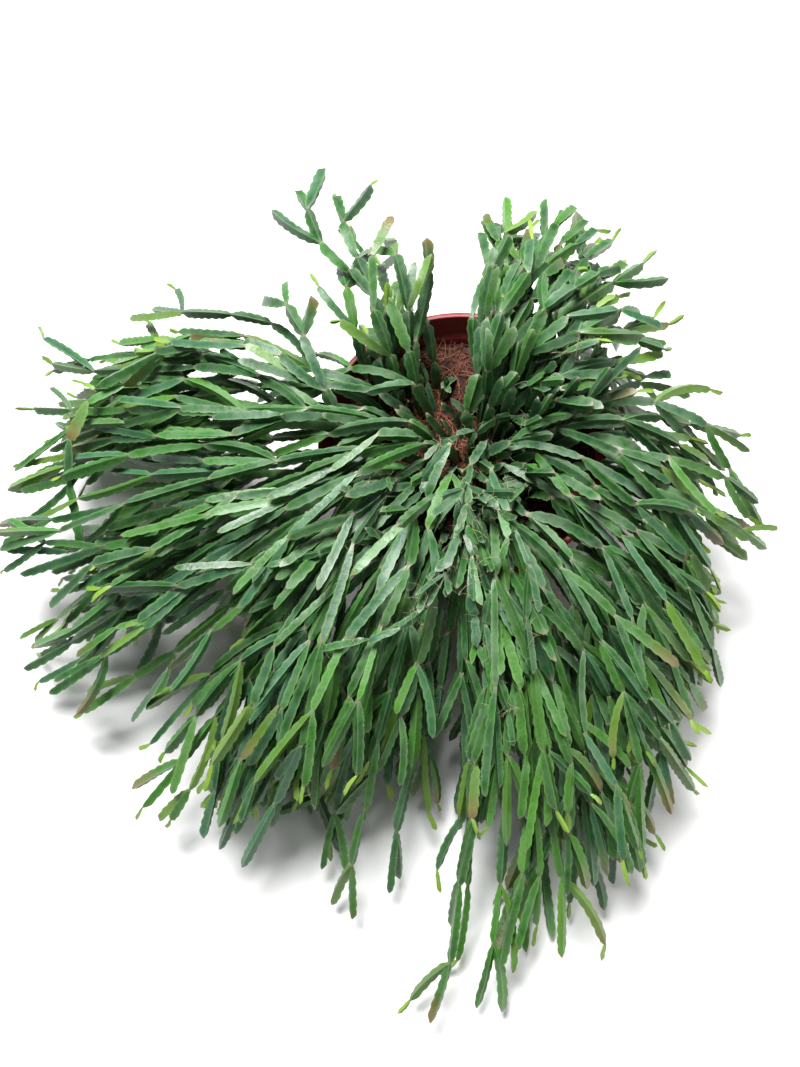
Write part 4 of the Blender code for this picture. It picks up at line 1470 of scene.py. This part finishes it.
def buildBed(name):
    # The mix as one closed body: an uneven top of rings, a tapered side and a flat bottom
    rng = random.Random(mixSizes["seed"])
    gap = potSizes["wall"] + mixSizes["gap"]
    low = potSizes["floor"] + mixSizes["gap"]
    edge = wallRadius(mixSizes["top"]) - gap
    sides, rings = mixSizes["sides"], mixSizes["rings"]
    waves = [(rng.uniform(40, 150), rng.uniform(40, 150), rng.uniform(0, 6.28)) for _ in range(9)]
    points, faces = [], []
    for i in range(1, rings + 1):
        radius = edge * i / rings
        for k in range(sides):
            spot = compass(360 * k / sides) * radius
            height = sum(math.sin(spot.x * a + spot.y * b + c) for a, b, c in waves) / len(waves)
            height = height * mixSizes["bumps"] + rng.uniform(-0.0005, 0.0005)
            points.append((spot.x, spot.y, mixSizes["top"] - 0.001 + (height if i < rings else -0.0005)))
    for i in range(rings - 1):
        for k in range(sides):
            n = (k + 1) % sides
            faces.append((i * sides + k, (i + 1) * sides + k, (i + 1) * sides + n, i * sides + n))
    centre = len(points)
    points.append((0, 0, mixSizes["top"] - 0.001))
    faces += [(centre, k, (k + 1) % sides) for k in range(sides)]
    rim = (rings - 1) * sides
    foot = len(points)
    points += [tuple(compass(360 * k / sides) * (wallRadius(low) - gap) + up * low) for k in range(sides)]
    faces += [(rim + k, foot + k, foot + (k + 1) % sides, rim + (k + 1) % sides) for k in range(sides)]
    faces.append(tuple(foot + k for k in reversed(range(sides))))
    return meshObject(name, points, faces)


def buildMix(tree, effects):
    bark = mixSkin("barkMix", mixLook["dark"], mixLook["mid"], mixLook["pale"], effects)
    coir = mixSkin("coirFibre", mixLook["fibreDark"], mixLook["fibre"], mixLook["fibre"], effects)
    made = []
    for name, make, skin, values in (
        ("potting_mix", buildChip, bark, {"Density": float(mixSizes["chipsPerSquareMetre"]), "Tilt": mixSizes["chipTilt"],
                                          "Small": mixSizes["chipSize"][0], "Large": mixSizes["chipSize"][1],
                                          "Keep Bed": True, "Rise": 0.0004}),
        ("coir_fibres", buildStrand, coir, {"Density": float(mixSizes["fibresPerSquareMetre"]), "Tilt": 0.35,
                                            "Small": mixSizes["fibreSize"][0], "Large": mixSizes["fibreSize"][1],
                                            "Keep Bed": False, "Rise": 0.0014}),
    ):
        helpers = [make(seed) for seed in range(3)]
        piece = buildBed(name)
        runTree(piece, tree, {"First": helpers[0], "Second": helpers[1], "Third": helpers[2], "Skin": skin,
                              "Seed": mixSizes["seed"], **values})
        for helper in helpers:
            bpy.data.objects.remove(helper)
        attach(piece, "root")
        made.append(piece)
    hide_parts("soil")
    print(f"potting mix: {sum(len(piece.data.polygons) for piece in made)} faces")
    return made


# Fine hair-like roots and dusty web over the oldest stem pieces

webLook = {
    "perSquareMetre": 16000,
    "size": (0.2, 0.75),
    "tilt": 0.9,
    "seed": 12,
    "pale": (0.46, 0.47, 0.40),
    "tan": (0.30, 0.22, 0.13),
}


def buildWeb(tree, crownStems):
    paint, shading, shader = newMaterial("rootHair")
    tone = mixColour(shading, attribute(shading, "tone"), webLook["pale"], webLook["tan"])
    feed(shading, shader.inputs["Base Color"], mixColour(shading, noise(shading, 300.0), tone, webLook["tan"]))
    shader.inputs["Roughness"].default_value = 0.8
    web = bpy.data.objects.new("root_hairs", crownStems.data.copy())
    bpy.context.scene.collection.objects.link(web)
    helpers = [buildStrand(seed) for seed in range(3)]
    runTree(web, tree, {"First": helpers[0], "Second": helpers[1], "Third": helpers[2], "Skin": paint,
                        "Density": float(webLook["perSquareMetre"]), "Small": webLook["size"][0],
                        "Large": webLook["size"][1], "Tilt": webLook["tilt"], "Rise": 0.0004,
                        "Keep Bed": False, "Seed": webLook["seed"]})
    for helper in helpers:
        bpy.data.objects.remove(helper)
    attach(web, "root")
    print(f"root hairs: {len(web.data.polygons)} faces")


# Pot: a tapered nursery pot with a band and a rolled lip

potLook = {
    "body": (0.225, 0.010, 0.014),
    "pale": (0.31, 0.028, 0.034),
    "dust": (0.20, 0.12, 0.09),
    "roughness": (0.30, 0.48),
}


def potSkin(effects):
    made, tree, shader = newMaterial("potPlastic")
    mottle, dustVeil, relief = effects
    cloudy = placeGroup(tree, mottle, Scale=35.0, Low=0.35, High=0.7)["Mask"]
    scuffs = ranged(tree, noise(tree, 60.0, 6.0, (1, 1, 9)), 0.56, 0.72)
    colour = mixColour(tree, maths(tree, "MULTIPLY", cloudy, 0.5), potLook["body"], potLook["pale"])
    colour = mixColour(tree, maths(tree, "MULTIPLY", scuffs, 0.35), colour, potLook["pale"])
    dusty = placeGroup(tree, dustVeil, Color=colour, Dust=potLook["dust"], Amount=0.35, Scale=120.0)
    feed(tree, shader.inputs["Base Color"], dusty["Color"])
    rough = ranged(tree, maths(tree, "ADD", scuffs, cloudy), 0.0, 1.6, *potLook["roughness"])
    feed(tree, shader.inputs["Roughness"], maths(tree, "MULTIPLY_ADD", dusty["Mask"], 0.4, rough))
    feed(tree, shader.inputs["Normal"], placeGroup(tree, relief, Scale=260.0, Strength=0.12, Depth=0.0004)["Normal"])
    return made


def turned(name, profile, sides):
    work = bmesh.new()
    verts = [work.verts.new((radius, 0, height)) for radius, height in profile]
    edges = [work.edges.new(pair) for pair in zip(verts, verts[1:])]
    bmesh.ops.spin(work, geom=verts + edges, cent=(0, 0, 0), axis=(0, 0, 1), angle=math.tau, steps=sides)
    bmesh.ops.remove_doubles(work, verts=work.verts, dist=1e-6)
    bmesh.ops.recalc_face_normals(work, faces=work.faces)
    mesh = bpy.data.meshes.new(name)
    work.to_mesh(mesh)
    work.free()
    made = bpy.data.objects.new(name, mesh)
    bpy.context.scene.collection.objects.link(made)
    return made


def roundCorner(before, corner, after, radius, steps=4):
    # Points of a small arc in place of a profile's corner
    corner = Vector(corner)
    inward, outward = Vector(before) - corner, Vector(after) - corner
    near = corner + inward.normalized() * min(radius, inward.length * 0.45)
    far = corner + outward.normalized() * min(radius, outward.length * 0.45)
    points = []
    for step in range(steps + 1):
        t = step / steps
        points.append(tuple(near * (1 - t) ** 2 + corner * (2 * t * (1 - t)) + far * t**2))
    return points


def buildPot(effects):
    size = potSizes
    bandFoot = size["height"] - size["bandHeight"]
    lipFoot = size["height"] - size["lipHeight"]
    band, rim, wall = size["bandRadius"], size["rimRadius"], size["wall"]
    corners = [
        (0, 0), (size["footRadius"], 0), (size["neckRadius"], bandFoot), (band, bandFoot + wall),
        (band + 0.0008, lipFoot - 0.0006), (rim, lipFoot + 0.0006), (rim, size["height"]),
        (band + 0.001 - wall, size["height"]), (band - wall, bandFoot + wall),
        (size["neckRadius"] - wall, bandFoot - wall), (wallRadius(size["floor"]) - wall, size["floor"]),
        (0, size["floor"]),
    ]
    radii = [0.002, 0.0012, 0.0012, 0.0006, 0.0008, 0.0018, 0.0012, 0.001, 0.001, 0.002]
    profile = [corners[0]]
    for before, corner, after, radius in zip(corners, corners[1:], corners[2:], radii):
        profile += roundCorner(before, corner, after, radius)
    profile.append(corners[-1])
    pot = turned("nursery_pot", profile, size["sides"])
    points, faces, sides = [], [], 24
    for spot in range(size["drainCount"]):
        centre = compass(360 * spot / size["drainCount"]) * size["drainCircle"]
        first = len(points)
        for height in (-0.01, 0.01):
            points += [tuple(centre + compass(360 * k / sides) * size["drainRadius"] + up * height) for k in range(sides)]
        faces.append(tuple(first + k for k in reversed(range(sides))))
        faces.append(tuple(first + sides + k for k in range(sides)))
        faces += [(first + k, first + (k + 1) % sides, first + sides + (k + 1) % sides, first + sides + k)
                  for k in range(sides)]
    cutter = meshObject("drainCutter", points, faces)
    boolean = pot.modifiers.new("drains", "BOOLEAN")
    boolean.operation = "DIFFERENCE"
    boolean.object = cutter
    boolean.solver = "EXACT"
    graph = bpy.context.evaluated_depsgraph_get()
    pot.data = bpy.data.meshes.new_from_object(pot.evaluated_get(graph))
    pot.modifiers.clear()
    bpy.data.objects.remove(cutter)
    pot.data.shade_smooth()
    pot.data.set_sharp_from_angle(angle=math.radians(40))
    pot.data.materials.clear()
    pot.data.materials.append(potSkin(effects))
    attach(pot, "root")
    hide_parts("pot")
    print("pot: turned, with its drainage holes")
    return pot


def main():
    buildStudio()
    effects = (buildMottle(), buildDustVeil(), buildRelief())
    buildPot(effects)
    scatter = buildScatterTree()
    buildMix(scatter, effects)
    room = Room()
    disc = [compass(30 * k) * (potSizes["rimRadius"] - 0.01) + up * mixSizes["top"] for k in range(12)]
    room.add(disc, [tuple(range(12))])
    potMesh = frame["nodes"]["pot"].data
    room.add([v.co.copy() for v in potMesh.vertices], [tuple(p.vertices) for p in potMesh.polygons])
    stems, roots = growCadStems(room)
    more = growThatch(stems, roots, room)
    growYoungTips(stems + more, room)
    skins = {name: stemSkin(name, stemLook[name], effects) for name in ("stem_green_1", "stem_green_2", "stem_green_3")}
    made = buildStems(stems, more, skins, bristleSkin())
    buildWeb(scatter, made[-1])
    triangles = 0
    for piece in bpy.data.objects:
        if piece.type == "MESH" and piece.name in bpy.context.scene.collection.objects:
            triangles += sum(len(polygon.vertices) - 2 for polygon in piece.data.polygons)
    print(f"plant: {triangles} triangles in all")


main()
